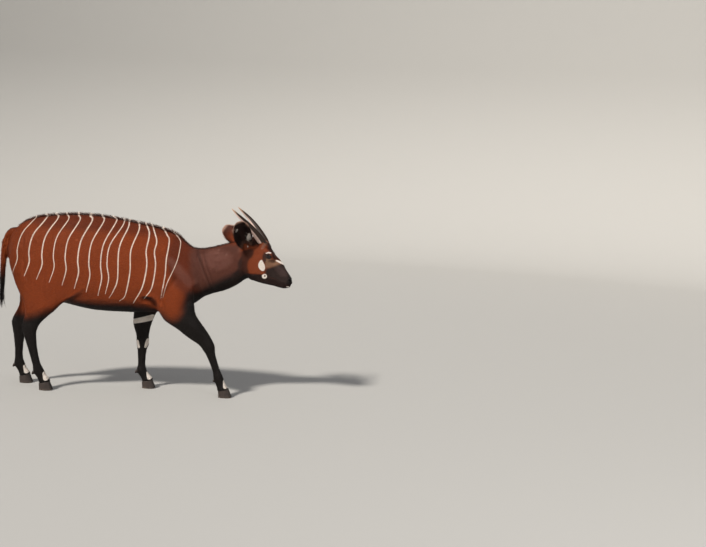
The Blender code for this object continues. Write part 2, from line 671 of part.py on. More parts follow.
def claw_outline(length, width, segments=14):
    """One claw seen from above, with its flat side on the cleft."""
    points = []
    for k in range(segments):
        angle = 2 * math.pi * k / segments
        x = length / 2 * math.cos(angle)
        y = width * math.sin(angle)
        y = y * 0.62 if y > 0 else y * 0.38
        nose = 1 - 0.35 * max(0.0, math.cos(angle)) ** 2
        points.append((x, y * nose))
    return points


def claw(name, hoof_x, hoof_y, outward):
    """One horny claw, from its flat sole up to the coronet."""
    bm = bmesh.new()
    rings = []
    levels = ((0.0, 0.97, 0.0), (0.10, 1.0, 0.0), (0.55, 0.5, 0.5), (1.0, 0.0, 1.0))
    for share, sole_part, top_part in levels:
        sole_part = sole_part if share < 0.5 else 1 - share
        top_part = 1 - sole_part
        length = SOLE_LENGTH * sole_part + CORONET_LENGTH * top_part
        width = SOLE_WIDTH * sole_part + CORONET_WIDTH * top_part
        back = 0.012 * top_part
        ring = []
        for x, y in claw_outline(length, width):
            x += 0.010 - back
            y = outward * (y + CLEFT_HALF * 0.86)
            turn = -outward * CLAW_SPLAY
            px = hoof_x + x * math.cos(turn) + y * math.sin(turn) * -1
            py = hoof_y + y * math.cos(turn) - x * math.sin(turn)
            top = coronet_height(px, hoof_x) - SEAM
            ring.append(Vector((px, py, top * share)))
        rings.append(ring)
    verts = [[bm.verts.new(p) for p in ring] for ring in rings]
    count = len(rings[0])
    for low, high in zip(verts, verts[1:]):
        for k in range(count):
            bm.faces.new((low[k], low[(k + 1) % count], high[(k + 1) % count], high[k]))
    bm.faces.new(verts[0])
    bm.faces.new(verts[-1])
    bmesh.ops.recalc_face_normals(bm, faces=bm.faces)
    return new_object(name, bm)


def build_head():
    """The head on a finer skin, with the openings of its eyes, nostrils and mouth."""
    head = flesh("head", [NECK[4:], HEAD], HEAD_BULGES, HEAD_ZONES, HEAD_VOXEL, 30)
    kept_from(head, HEAD_STARTS_X, 1)
    turn_mesh(head)
    thinned(head, HEAD_TRIANGLES)
    boolean(head, slab("head"), "DIFFERENCE")
    parts = sorted(loose_parts(head), key=lambda part: middle_of(part).x)
    bpy.data.objects.remove(head)
    head = parts.pop()
    for rest in parts:
        bpy.data.objects.remove(rest)
    head.name = "head"
    for side in (1, -1):
        boolean(head, lid_ring(side), "UNION")
        boolean(head, eye_opening(side), "DIFFERENCE")
        boolean(head, nostril(side), "DIFFERENCE")
    boolean(head, mouth_groove(), "DIFFERENCE")
    return largest(head)


def eye_place(side):
    return turned_with_head((EYE_CENTRE.x, side * EYE_CENTRE.y, EYE_CENTRE.z))


def eyeball(name, side, radius, segments=14):
    bm = bmesh.new()
    bmesh.ops.create_uvsphere(
        bm,
        u_segments=segments,
        v_segments=segments - 4,
        radius=radius,
        matrix=Matrix.Translation(eye_place(side)) @ Matrix.Rotation(math.radians(90), 4, "X"),
    )
    return new_object(name, bm)


def slit_point(share, grow, radius, side):
    """A point of the almond between the lids, on a ball round the middle of the eye."""
    angle = 2 * math.pi * share
    u = EYE_SLIT_HALF_LENGTH * grow * math.cos(angle)
    v = EYE_SLIT_HALF_HEIGHT * grow * math.sin(angle) * abs(math.sin(angle)) ** 0.35
    x = u * math.cos(EYE_TILT) - v * math.sin(EYE_TILT)
    z = u * math.sin(EYE_TILT) + v * math.cos(EYE_TILT)
    flat = min(math.hypot(x, z), radius * 0.97)
    y = math.sqrt(radius * radius - flat * flat)
    place = EYE_CENTRE + Vector((x, y, z))
    return Vector((place.x, side * place.y, place.z))


def closed_loop(name, rings):
    """Rings of points joined in a closed loop, like a bent hoop."""
    bm = bmesh.new()
    verts = [[bm.verts.new(turned_with_head(p)) for p in ring] for ring in rings]
    count = len(rings[0])
    for here, there in zip(verts, verts[1:] + verts[:1]):
        for k in range(count):
            j = (k + 1) % count
            bm.faces.new((here[k], here[j], there[j], there[k]))
    bmesh.ops.recalc_face_normals(bm, faces=bm.faces)
    return new_object(name, bm)


def lid_ring(side, count=18):
    """The rims of both lids, as one hoop that lies on the eyeball."""
    rings = []
    for k in range(count):
        share = (k + 0.5) / count
        upper = math.sin(2 * math.pi * share) > 0
        thick = LID_UPPER if upper else LID_LOWER
        reach = EYE_R + SEAM
        rings.append([
            slit_point(share, 0.94, reach - 0.0015, side),
            slit_point(share, 0.98, reach + thick, side),
            slit_point(share, 1.18, reach + thick * 1.1, side),
            slit_point(share, 1.36, reach + thick * 0.4, side),
            slit_point(share, 1.30, reach - 0.0040, side),
        ])
    return closed_loop("lids", rings)


def eye_opening(side, count=20):
    """The almond-shaped slit between the lids, and the hollow that holds the eyeball."""
    bm = bmesh.new()
    middle = EYE_CENTRE - Vector((0, 0.016, 0))
    rings = []
    for away in (0.2, 3.0):
        ring = []
        for k in range(count):
            rim = slit_point(k / count, 1.0, EYE_R, 1)
            place = middle + (rim - middle) * away
            ring.append(turned_with_head((place.x, side * place.y, place.z)))
        rings.append(ring)
    verts = [[bm.verts.new(p) for p in ring] for ring in rings]
    for k in range(count):
        j = (k + 1) % count
        bm.faces.new((verts[0][k], verts[0][j], verts[1][j], verts[1][k]))
    bm.faces.new(verts[0])
    bm.faces.new(verts[1])
    bmesh.ops.triangulate(bm, faces=bm.faces)
    bmesh.ops.recalc_face_normals(bm, faces=bm.faces)
    slit = new_object("slit", bm)
    return boolean(slit, eyeball("socket", side, EYE_R + SEAM), "UNION")


def nostril(side):
    bm = ellipsoid((0.965, side * 0.0240, 0.803), (0.0095, 0.0060, 0.0050), 40, 2)
    for vertex in bm.verts:
        vertex.co = turned_with_head(vertex.co)
    return new_object("nostril", bm)


def mouth_groove():
    """A thin ribbon along the lips, from one corner of the mouth round the nose to the other."""
    corner, front = Vector((0.868, 0.0, 0.797)), Vector((0.982, 0.0, 0.772))
    half_width_at = [(0.868, 0.0420), (0.900, 0.0385), (0.935, 0.0350), (0.960, 0.0290), (0.974, 0.0180)]
    line = []
    for x, half in half_width_at:
        share = (x - corner.x) / (front.x - corner.x)
        sag = 0.004 * math.sin(math.pi * share)
        line.append((x, half, corner.z + (front.z - corner.z) * share - sag))
    path = [(x, -half, z) for x, half, z in line] + [(0.979, 0.0, 0.772)]
    path += [(x, half, z) for x, half, z in reversed(line)]
    bm = bmesh.new()
    rings = []
    for k, point in enumerate(path):
        ahead = Vector(path[min(k + 1, len(path) - 1)]) - Vector(path[max(k - 1, 0)])
        out = Vector((ahead.y, -ahead.x, 0)).normalized()
        ends = k in (0, len(path) - 1)
        deep = 0.001 if ends else 0.0045
        ring = [(-deep, 0.0007), (0.009, 0.0016), (0.009, -0.0016), (-deep, -0.0007)]
        rings.append([turned_with_head(Vector(point) + out * d + Vector((0, 0, h))) for d, h in ring])
    verts = [[bm.verts.new(p) for p in ring] for ring in rings]
    for low, high in zip(verts, verts[1:]):
        for k in range(4):
            j = (k + 1) % 4
            bm.faces.new((low[k], low[j], high[j], high[k]))
    bm.faces.new(verts[0])
    bm.faces.new(verts[-1])
    bmesh.ops.recalc_face_normals(bm, faces=bm.faces)
    return new_object("mouth", bm)


def horn(name, side, segments=12):
    """A smooth horn that leans back and out, with one keel that winds round it."""
    rows = between([(x, side * y, z, r) for x, y, z, r in HORN_LINE], 3)
    bm = bmesh.new()
    rings = []
    for k, (x, y, z, radius) in enumerate(rows):
        before, after = rows[max(k - 1, 0)], rows[min(k + 1, len(rows) - 1)]
        along = Vector(after[:3] - before[:3]).normalized()
        outward = Vector((0, side, 0))
        outward = (outward - along * outward.dot(along)).normalized()
        rear = along.cross(outward) * side
        keel = HORN_TWIST * k / (len(rows) - 1)
        ring = []
        for j in range(segments):
            angle = 2 * math.pi * j / segments
            off = math.atan2(math.sin(angle - keel), math.cos(angle - keel))
            size = radius * (1 + 0.22 * math.exp(-((off / 0.45) ** 2)))
            place = Vector((x, y, z)) + (outward * 0.86 * math.cos(angle) + rear * math.sin(angle)) * size
            ring.append(turned_with_head(place))
        rings.append(ring)
    skin_rings(bm, rings)
    return new_object(name, bm)


def ear(name, root, axis, opening, across_count=9):
    """A cupped ear as a shell: the back of the ear, its rim, and the inside of the cup."""
    axis = axis.normalized()
    opening = (opening - axis * opening.dot(axis)).normalized()
    across = axis.cross(opening)
    rows = between(EAR_SECTIONS, 2)
    bm = bmesh.new()
    rings = []
    for share, half, depth, thick in rows:
        base = root + axis * EAR_LENGTH * share
        outer, inner = [], []
        for k in range(across_count):
            u = math.sin(math.pi * (k / (across_count - 1) - 0.5))
            cup = depth * (1 - u * u)
            wall = thick * (1 - 0.45 * u * u)
            outer.append(base + across * u * half - opening * cup)
            inner.append(base + across * u * (half - thick * 0.3) - opening * (cup - wall))
        rings.append(outer + inner[::-1])
    verts = [[bm.verts.new(turned_with_head(p)) for p in ring] for ring in rings]
    count = len(verts[0])
    for low, high in zip(verts, verts[1:]):
        for k in range(count):
            j = (k + 1) % count
            bm.faces.new((low[k], low[j], high[j], high[k]))
    bm.faces.new(verts[0])
    bm.faces.new(verts[-1])
    bmesh.ops.recalc_face_normals(bm, faces=bm.faces)
    return new_object(name, bm)


def lock(bm, root, tip, across, lift, width, thick):
    """One flat, tapered lock of hair: its root sunk in, its end a point, its middle bowed."""
    along = tip - root
    across = across.normalized() * width / 2
    lift = lift.normalized()
    rings = []
    for share, wide in ((0.0, 0.70), (0.35, 1.0), (0.72, 0.62)):
        middle = root + along * share + lift * along.length * 0.10 * math.sin(math.pi * share)
        side, rise = across * wide, lift * thick / 2 * wide
        rings.append([middle + side, middle + rise, middle - side, middle - rise])
    verts = [[bm.verts.new(p) for p in ring] for ring in rings]
    end = bm.verts.new(tip)
    faces = [bm.faces.new(verts[0])]
    for low, high in zip(verts, verts[1:]):
        for k in range(4):
            j = (k + 1) % 4
            faces.append(bm.faces.new((low[k], low[j], high[j], high[k])))
    for k in range(4):
        faces.append(bm.faces.new((verts[-1][k], verts[-1][(k + 1) % 4], end)))
    bmesh.ops.recalc_face_normals(bm, faces=faces)


def fused(obj, locks):
    """Joins the locks to the body that carries them."""
    collection = bpy.data.collections.new(obj.name + "_locks")
    bpy.context.scene.collection.children.link(collection)
    for piece in locks:
        bpy.context.scene.collection.objects.unlink(piece)
        collection.objects.link(piece)
    modifier = obj.modifiers.new("locks", "BOOLEAN")
    modifier.operation = "UNION"
    modifier.operand_type = "COLLECTION"
    modifier.solver = "MANIFOLD"
    modifier.collection = collection
    apply_modifiers(obj)
    for piece in locks:
        bpy.data.objects.remove(piece)
    bpy.data.collections.remove(collection)
    return largest(obj)


def back_height(torso, x):
    hit, place, _, _ = torso.ray_cast(Vector((x, 0.0, 2.0)), Vector((0, 0, -1)))
    return place.z


def crest(torso):
    """The short crest of hair along the middle of the back, its locks lying one over the next."""
    chance = random.Random(5)
    pieces = []
    for k in range(CREST_LOCKS):
        share = k / (CREST_LOCKS - 1)
        x = CREST_FROM_X + (CREST_TO_X - CREST_FROM_X) * share
        ends = smooth_step(share, 0.0, 0.12) * smooth_step(1 - share, 0.0, 0.12)
        rise = CREST_RISE * (0.45 + 0.55 * ends) * chance.uniform(0.85, 1.15)
        y = chance.uniform(-0.002, 0.002)
        root = Vector((x + 0.006, y, back_height(torso, x + 0.006) - 0.012))
        tip_x = x - CREST_LENGTH * chance.uniform(0.8, 1.0)
        tip = Vector((tip_x, y + chance.uniform(-0.004, 0.004), back_height(torso, tip_x) + rise))
        bm = bmesh.new()
        lock(bm, root, tip, Vector((0.0, 0.0, 1.0)), Vector((0, 1, 0)), 2 * CREST_WIDTH, 2 * CREST_THICK)
        pieces.append(new_object("lock", bm))
    return fused(torso, pieces)


def tail_with_tuft(torso):
    """The tail, and the dark locks round its end."""
    tail = seat(new_object("tail", loft(TAIL, 12, 2)), torso)
    chance = random.Random(8)
    pieces = []
    for k in range(TUFT_LOCKS):
        share = k / (TUFT_LOCKS - 1)
        angle = 2.399963 * k
        z = TUFT_FROM_Z + (TUFT_TO_Z - TUFT_FROM_Z) * share
        out = Vector((math.cos(angle), math.sin(angle), 0))
        root = Vector((-0.969, 0, z)) + out * 0.004
        spread = 0.013 * chance.uniform(0.7, 1.1)
        tip = Vector((-0.967, 0, z - TUFT_LENGTH * chance.uniform(0.85, 1.1))) + out * spread
        bm = bmesh.new()
        lock(bm, root, tip, out.cross(Vector((0, 0, 1))), out, 2 * TUFT_WIDTH, 2 * TUFT_THICK)
        pieces.append(new_object("lock", bm))
    return fused(tail, pieces)


def dewclaws(name, leg):
    """The two small horny knobs behind the fetlock."""
    rows = LEGS[name][0]
    fetlock = rows[12]
    x, z, y = fetlock[3], fetlock[4] - 0.004, fetlock[5]
    for side in (1, -1):
        bm = ellipsoid((x + 0.002, y + side * 0.014, z), (0.0100, 0.0080, 0.0165), 35, 2)
        boolean(leg, new_object("dewclaw", bm), "UNION")
    return largest(leg)


def build():
    clear_scene()
    nodes = split_body()
    for name in LEGS:
        nodes[name] = dewclaws(name, nodes[name])
    nodes["torso"] = crest(nodes["torso"])
    nodes["tail"] = tail_with_tuft(nodes["torso"])
    head = build_head()
    nodes["head"] = head
    for side, word in ((1, "left"), (-1, "right")):
        nodes["eye_" + word] = eyeball("eye_" + word, side, EYE_R)
        nodes["horn_" + word] = seat(horn("horn_" + word, side), head)
    near_root = Vector((EAR_ROOT.x, -EAR_ROOT.y, EAR_ROOT.z))
    near = ear("ear_right", near_root, NEAR_EAR_AXIS, NEAR_EAR_OPENING)
    far = ear("ear_left", EAR_ROOT, FAR_EAR_AXIS, FAR_EAR_OPENING)
    nodes["ear_right"] = seat(seat(near, head), nodes["neck"])
    nodes["ear_left"] = seat(seat(far, head), nodes["neck"])
    for name, (rows, hoof_x) in LEGS.items():
        for word, outward in (("left", 1), ("right", -1)):
            claw_name = f"claw_{name}_{word}"
            nodes[claw_name] = claw(claw_name, hoof_x, rows[-1][5], outward)
    for name, obj in nodes.items():
        kind = name.split("_")[0]
        finish = {"eye": "eye", "horn": "horn", "claw": "hoof"}.get(kind, "coat")
        if name.startswith(DARK_NODES):
            finish = "dark_coat"
        obj.name = name
        obj.data.name = name
        obj.data.materials.clear()
        obj.data.materials.append(material(finish))


build()
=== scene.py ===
import math

import bmesh
import bpy
import numpy as np
from mathutils import Matrix, Vector
from mathutils.bvhtree import BVHTree


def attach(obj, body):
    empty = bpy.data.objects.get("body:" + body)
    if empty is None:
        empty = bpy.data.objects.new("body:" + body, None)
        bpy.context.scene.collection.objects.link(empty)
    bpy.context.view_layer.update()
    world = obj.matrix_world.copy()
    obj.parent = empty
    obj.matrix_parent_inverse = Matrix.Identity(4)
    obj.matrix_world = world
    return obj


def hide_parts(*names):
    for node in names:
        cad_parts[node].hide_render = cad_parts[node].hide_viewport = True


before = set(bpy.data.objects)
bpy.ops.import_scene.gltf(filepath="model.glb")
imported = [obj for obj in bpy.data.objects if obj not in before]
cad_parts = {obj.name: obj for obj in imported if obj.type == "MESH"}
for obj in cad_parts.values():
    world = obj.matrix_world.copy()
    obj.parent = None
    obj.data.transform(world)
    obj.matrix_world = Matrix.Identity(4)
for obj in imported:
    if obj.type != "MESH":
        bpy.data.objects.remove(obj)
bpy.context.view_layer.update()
print("frame loaded")

# How the animal stands. Places on the head and neck are given straight, before the head turns.
stance = {
    "headTurn": math.radians(-6.5),  # it looks a little to its right, the camera's side
    "turnFrom": 0.36,  # the neck bends between these
    "turnTo": 0.64,
    "pivotX": 0.48,
}


def smooth(value, low, high):
    share = np.clip((value - low) / (high - low), 0.0, 1.0)
    return share * share * (3 - 2 * share)


def turned(points, way=1):  # 1 carries straight places round with the head, -1 straightens them
    angle = stance["headTurn"] * way * smooth(points[:, 0], stance["turnFrom"], stance["turnTo"])
    x, y = points[:, 0] - stance["pivotX"], points[:, 1]
    c, s = np.cos(angle), np.sin(angle)
    return np.column_stack((stance["pivotX"] + x * c - y * s, x * s + y * c, points[:, 2]))


def folded(points):  # straight places, with those of the right side laid on the left
    flat = turned(points, -1)
    flat[:, 1] = np.abs(flat[:, 1])
    return flat


def nearTwin(points):  # the same place of the coat on the near side
    flat = turned(points, -1)
    flat[:, 1] = -np.abs(flat[:, 1])
    return turned(flat)


def curveThrough(rows, steps):  # a smooth line through rows of numbers
    rows = np.array(rows, float)
    padded = np.vstack((2 * rows[0] - rows[1], rows, 2 * rows[-1] - rows[-2]))
    made = []
    for a, b, c, d in zip(padded, padded[1:], padded[2:], padded[3:]):
        for k in range(steps):
            t = k / steps
            made.append(0.5 * (2 * b + (c - a) * t + (2 * a - 5 * b + 4 * c - d) * t ** 2
                               + (3 * b - a - 3 * c + d) * t ** 3))
    made.append(rows[-1])
    return np.array(made)


def lineDistance(points, line):  # how far points lie from a line of straight runs, and how far along it
    line = np.array(line, float)
    best = np.full(len(points), 1e9)
    along = np.zeros(len(points))
    for k, (a, b) in enumerate(zip(line, line[1:])):
        run = b - a
        t = np.clip(((points - a) @ run) / max(run @ run, 1e-12), 0, 1)
        d = np.linalg.norm(points - a - t[:, None] * run, axis=1)
        closer = d < best
        best[closer] = d[closer]
        along[closer] = (k + t[closer]) / (len(line) - 1)
    return best, along


# Plain mesh work
def newObject(name, mesh):
    obj = bpy.data.objects.new(name, mesh)
    bpy.context.scene.collection.objects.link(obj)
    return obj


def meshOf(name, points, faces):
    mesh = bpy.data.meshes.new(name)
    mesh.from_pydata([tuple(p) for p in points], [], faces)
    mesh.update()
    return mesh


def ringFaces(rings, sides, start=0):  # the faces between rings of points that follow one another
    return [(start + k * sides + j, start + k * sides + (j + 1) % sides,
             start + (k + 1) * sides + (j + 1) % sides, start + (k + 1) * sides + j)
            for k in range(rings - 1) for j in range(sides)]


def readRows(items, field, width, kind=np.float32):
    flat = np.empty(len(items) * width, kind)
    items.foreach_get(field, flat)
    return flat.reshape(-1, width)


def facesOf(mesh, field):  # the middles or the normals of the faces
    return readRows(mesh.polygons, field, 3).astype(float)


def pointsOf(mesh):
    return readRows(mesh.vertices, "co", 3).astype(float)


def normalsOf(mesh):
    return readRows(mesh.vertex_normals, "vector", 3).astype(float)


def edgesOf(mesh):
    return readRows(mesh.edges, "vertices", 2, np.int32)


def setPoints(mesh, points):
    mesh.vertices.foreach_set("co", points.astype(np.float32).ravel())
    mesh.update()


def sheetOf(mesh):
    sheet = bmesh.new()
    sheet.from_mesh(mesh)
    return sheet


def layBack(sheet, mesh):
    sheet.to_mesh(mesh)
    sheet.free()


def faceOut(mesh, join=0.0, split=False):  # turns all faces outward; may join points and split large faces
    sheet = sheetOf(mesh)
    if join:
        bmesh.ops.remove_doubles(sheet, verts=sheet.verts, dist=join)
    if split:
        bmesh.ops.triangulate(sheet, faces=[f for f in sheet.faces if len(f.verts) > 4])
    bmesh.ops.recalc_face_normals(sheet, faces=sheet.faces)
    layBack(sheet, mesh)


def shadeSmooth(mesh, material=None):
    mesh.polygons.foreach_set("use_smooth", np.ones(len(mesh.polygons), bool))
    if material:
        mesh.materials.append(material)


def finished(obj):  # the mesh with the modifiers worked in
    graph = bpy.context.evaluated_depsgraph_get()
    mesh = bpy.data.meshes.new_from_object(obj.evaluated_get(graph), depsgraph=graph)
    old = obj.data
    obj.modifiers.clear()
    obj.data = mesh
    bpy.data.meshes.remove(old)
    return obj


def discard(obj):
    mesh = obj.data
    bpy.data.objects.remove(obj)
    bpy.data.meshes.remove(mesh)


def neighbourMean(points, edges, degree):
    total = np.empty_like(points)
    for axis in range(points.shape[1]):
        total[:, axis] = np.bincount(edges[:, 0], points[edges[:, 1], axis], len(points))
        total[:, axis] += np.bincount(edges[:, 1], points[edges[:, 0], axis], len(points))
    return total / degree[:, None]


def relaxed(points, edges, rounds):  # smooths without shrinking, by a count of rounds at each point
    degree = np.maximum(np.bincount(edges.ravel(), minlength=len(points)), 1)
    for k in range(int(math.ceil(rounds.max()))):
        hold = np.clip(rounds - k, 0, 1)[:, None]
        for pull in (0.5, -0.53):
            points = points + (neighbourMean(points, edges, degree) - points) * pull * hold
    return points


def storeNumber(mesh, name, values):
    layer = mesh.attributes.get(name) or mesh.attributes.new(name, "FLOAT", "POINT")
    layer.data.foreach_set("value", np.asarray(values, np.float32))


def storeVector(mesh, name, values):
    layer = mesh.attributes.get(name) or mesh.attributes.new(name, "FLOAT_VECTOR", "POINT")
    layer.data.foreach_set("vector", np.asarray(values, np.float32).ravel())


def storeColour(mesh, name, values):
    layer = mesh.attributes.get(name) or mesh.attributes.new(name, "FLOAT_COLOR", "POINT")
    rgba = np.column_stack((values, np.ones(len(values)))).astype(np.float32)
    layer.data.foreach_set("color", rgba.ravel())


# The camera and the plain studio
camera = {
    "place": (1.38, -8.333, 1.719),
    "lookDown": 5.9,  # degrees
    "lean": 2.5,
    "lens": 63.74,
    "sensor": 36.0,
}


def makeCamera():
    data = bpy.data.cameras.new("camera")
    data.lens, data.sensor_width = camera["lens"], camera["sensor"]
    obj = bpy.data.objects.new("camera", data)
    bpy.context.scene.collection.objects.link(obj)
    obj.matrix_world = (Matrix.Translation(camera["place"])
                        @ Matrix.Rotation(math.radians(90 - camera["lookDown"]), 4, "X")
                        @ Matrix.Rotation(math.radians(camera["lean"]), 4, "Z"))
    bpy.context.scene.camera = obj


makeCamera()

# The eyes, on the left side before the head turns
eyes = {
    "centre": (0.827, 0.0530, 0.958),
    "radius": 0.0205,
    "slitHalfLength": 0.0172,
    "slitHalfHeight": 0.0118,
    "slitTilt": math.radians(-28),
    "slitPower": 1.48,  # of its curve: 2 would be an ellipse, less is more pointed
    "upperLid": 0.0030,
    "lowerLid": 0.0022,
    "upperCrease": (0.0016, 0.0070),  # depth, and distance from the slit
    "lowerCrease": (0.0010, 0.0056),
    "creaseReach": 0.0013,
    "rimThin": (0.40, 0.0018),  # a lid's thickness at the rim as a share, and where it is whole
    "rimSnap": 0.00055,  # points nearer to the rim than this are drawn onto it
    "meet": 0.0045,  # how widely the lids run out into the face
    "sink": 0.0045,  # how deep the ball lies in the face
    "sinkReach": (0.014, 0.030),
    "hidden": (0.72, 0.70),  # inside the slit the hide lies within the ball: shares of its radius
}

# The ears: root, axis and the way the cup faces, by side, before the head turns
ears = {
    "length": 0.236,
    "root": (0.682, 0.066, 0.992),
    "axis": {-1: (-0.037, -0.133, 0.190), 1: (-0.208, 0.040, 0.138)},
    "opening": {-1: (0.35, -0.95, 0.05), 1: (0.10, 0.95, 0.10)},
    "sections": [  # share of the length, half width, depth of the cup, thickness
        (0.00, 0.021, 0.026, 0.0065),
        (0.10, 0.034, 0.037, 0.0050),
        (0.25, 0.049, 0.042, 0.0038),
        (0.42, 0.0585, 0.039, 0.0032),
        (0.60, 0.0605, 0.032, 0.0029),
        (0.76, 0.0560, 0.023, 0.0027),
        (0.89, 0.0440, 0.013, 0.0025),
        (0.97, 0.0285, 0.006, 0.0023),
        (1.00, 0.0150, 0.003, 0.0020),
    ],
    "rimRoll": 0.006,
    "thinEdge": 0.45,  # how much thinner the wall is at its edge
    "ridges": 0.0016,
    "rowsBetween": 4,
    "across": 17,
}


def earFrame(side):
    axis = Vector(ears["axis"][side]).normalized()
    opening = Vector(ears["opening"][side])
    opening = (opening - axis * opening.dot(axis)).normalized()
    x, y, z = ears["root"]
    return Vector((x, side * y, z)), axis, opening, axis.cross(opening)


def earPlace(points, side):  # share along the ear, place across it and depth in it, in metres
    root, axis, opening, across = (np.array(v) for v in earFrame(side))
    flat = turned(points, -1) - root
    return flat @ axis / ears["length"], flat @ across, flat @ opening


def earShape(along):  # half width, depth of the cup and thickness at places along an ear
    rows = np.array(ears["sections"])
    return [np.interp(along, rows[:, 0], rows[:, k]) for k in (1, 2, 3)]


def makeEar(side):
    root, axis, opening, across = earFrame(side)
    count = ears["across"]
    rings = []
    for share, half, depth, thick in curveThrough(ears["sections"], ears["rowsBetween"]):
        base = root + axis * ears["length"] * share
        outer, inner = [], []
        for k in range(count):
            u = math.sin(math.pi * (k / (count - 1) - 0.5))
            middle = math.sin(math.pi * share)
            cup = depth * (1 - u * u) - ears["rimRoll"] * abs(u) ** 6 * middle
            wall = thick * (1 - ears["thinEdge"] * u * u)
            fold = ears["ridges"] * middle * math.cos(u * 11) * (1 - u * u)
            outer.append(base + across * u * half - opening * cup)
            inner.append(base + across * u * (half - thick * 0.3) - opening * (cup - wall - fold))
        rings.append(outer + inner[::-1])
    size = len(rings[0])
    points = turned(np.array([p for ring in rings for p in ring]))
    faces = ringFaces(len(rings), size)
    faces += [tuple(range(size)), tuple(range((len(rings) - 1) * size, len(rings) * size))]
    mesh = meshOf("ear", points, faces)
    faceOut(mesh, split=True)
    return newObject("ear", mesh)


# The skin: one smooth hide in place of the solids of flesh, inside them by the depth of the coat
skinPlan = {
    "flesh": ["torso", "neck", "head", "tail",
              "foreleg_right", "foreleg_left", "hindleg_right", "hindleg_left"],
    "balls": ["eye_right", "eye_left"],  # they fill the sockets while the form is worked
    "swell": 0.0012,  # closes the gaps between the solids
    "formVoxel": 0.0042,
    "baseVoxel": 0.0094,
    "crestHalf": 0.022,  # the crest of the solids is pressed flat inside this
    "tuftTop": 0.735,  # and the tail's tuft below this is drawn in
    "coatDepth": 0.0030,
    "faceDepth": 0.0012,
    "throat": (0.675, 0.0, 0.825),
    # Rounds of smoothing: the trunk's, what the head and legs add, and the tail's, which stand alone
    "formRounds": {"trunk": 75, "head": -50, "legs": -62, "tail": 10},
    "throatEased": (30, 0.045, 0.085),  # rounds of smoothing, in full up to the first distance
    "earRootEased": (6, 0.030, 0.055),
    "evenRounds": 3.0,
    "plug": (0.9615, 0.0205, 0.8030, 0.0080),  # fills the solids' plain nostrils: x, y, z, radius
    "earBase": [(-0.12, 0.030), (0.00, 0.031), (0.08, 0.027), (0.15, 0.019), (0.20, 0.008)],  # share, radius
}
tailLine = [(-0.907, 0.0, 1.046, 0.024), (-0.938, 0.0, 1.011, 0.021), (-0.956, 0.0, 0.952, 0.018),
            (-0.964, 0.0, 0.839, 0.0145), (-0.968, 0.0, 0.740, 0.0115), (-0.970, 0.0, 0.645, 0.008)]


def nodeSheet(name):  # the surface of a solid of the frame, with its corners joined
    sheet = sheetOf(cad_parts[name].data)
    bmesh.ops.remove_doubles(sheet, verts=sheet.verts, dist=1e-5)
    return sheet


def fleshSurface(name):
    sheet = nodeSheet(name)
    sheet.normal_update()
    points = np.array([v.co + v.normal * skinPlan["swell"] for v in sheet.verts])
    faces = [[v.index for v in f.verts] for f in sheet.faces]
    sheet.free()
    return points, faces


def backLine(points):  # heights of the back beside the crest, along X
    side = np.abs(points[:, 1])
    near = (side > 0.020) & (side < 0.075) & (points[:, 2] > 0.9)
    xs = np.arange(-0.86, 0.34, 0.04)
    heights = []
    for x in xs:
        close = near & (np.abs(points[:, 0] - x) < 0.05)
        drop = points[close, 1] ** 2 / 0.22  # the back falls away like a round arch
        heights.append((points[close, 2] + drop).max())
    return xs, np.convolve(np.pad(heights, 1, mode="edge"), [0.25, 0.5, 0.25], mode="valid")


def roundSolid(rings, sides=20):  # a closed surface through round rings of (centre, direction, radius)
    points = []
    for centre, direction, radius in rings:
        across = Vector(direction).orthogonal().normalized()
        over = Vector(direction).normalized().cross(across)
        for k in range(sides):
            angle = 2 * math.pi * k / sides
            points.append(Vector(centre) + (across * math.cos(angle) + over * math.sin(angle)) * radius)
    faces = ringFaces(len(rings), sides)
    faces += [tuple(range(sides))[::-1], tuple(range(len(points) - sides, len(points)))]
    return np.array([tuple(p) for p in points]), faces


def extraFlesh():  # the ears' round bases, and plugs in the plain nostrils
    made = []
    for side in (-1, 1):
        root, axis, opening, _ = earFrame(side)
        rings = []
        for share, radius in skinPlan["earBase"]:
            place = root + axis * ears["length"] * share - opening * 0.020
            rings.append((place, axis, radius))
        made.append(roundSolid(rings))
        x, y, z, radius = skinPlan["plug"]
        rings = []
        for k in range(1, 12):
            angle = math.pi * k / 12
            rings.append(((x - radius * math.cos(angle), side * y, z), (1, 0, 0), radius * math.sin(angle)))
        made.append(roundSolid(rings))
    return [(turned(points), faces) for points, faces in made]


def joined(name, parts):  # one mesh of parts, each given as points and faces
    allPoints, allFaces, start = [], [], 0
    for points, faces in parts:
        allPoints.append(points)
        allFaces += [[v + start for v in face] for face in faces]
        start += len(points)
    return meshOf(name, np.vstack(allPoints), allFaces)


def joinedFlesh():
    parts = extraFlesh()
    for name in skinPlan["flesh"] + skinPlan["balls"]:
        points, faces = fleshSurface(name)
        if name == "torso":
            xs, heights = backLine(points)
            crest = (np.abs(points[:, 1]) < skinPlan["crestHalf"]) & (points[:, 2] > 0.9)
            limit = np.interp(points[:, 0], xs, heights) - 0.001
            points[crest, 2] = np.minimum(points[crest, 2], limit[crest])
        if name == "tail":
            line = np.array(tailLine)
            low = points[:, 2] < skinPlan["tuftTop"]
            middle = np.column_stack([np.interp(-points[:, 2], -line[:, 2], line[:, k]) for k in range(2)])
            reach = np.interp(-points[:, 2], -line[:, 2], line[:, 3])
            out = points[:, :2] - middle
            far = np.maximum(np.linalg.norm(out, axis=1), 1e-9)
            drawn = middle + out * np.minimum(1, reach / far)[:, None]
            points[low, :2] = drawn[low]
            points[:, 2] = np.maximum(points[:, 2], 0.640)
        parts.append((points, faces))
    return joined("flesh", parts)


def remeshed(source, voxel):
    obj = newObject("form", source.copy())
    step = obj.modifiers.new("voxels", "REMESH")
    step.mode = "VOXEL"
    step.voxel_size = voxel
    return finished(obj)


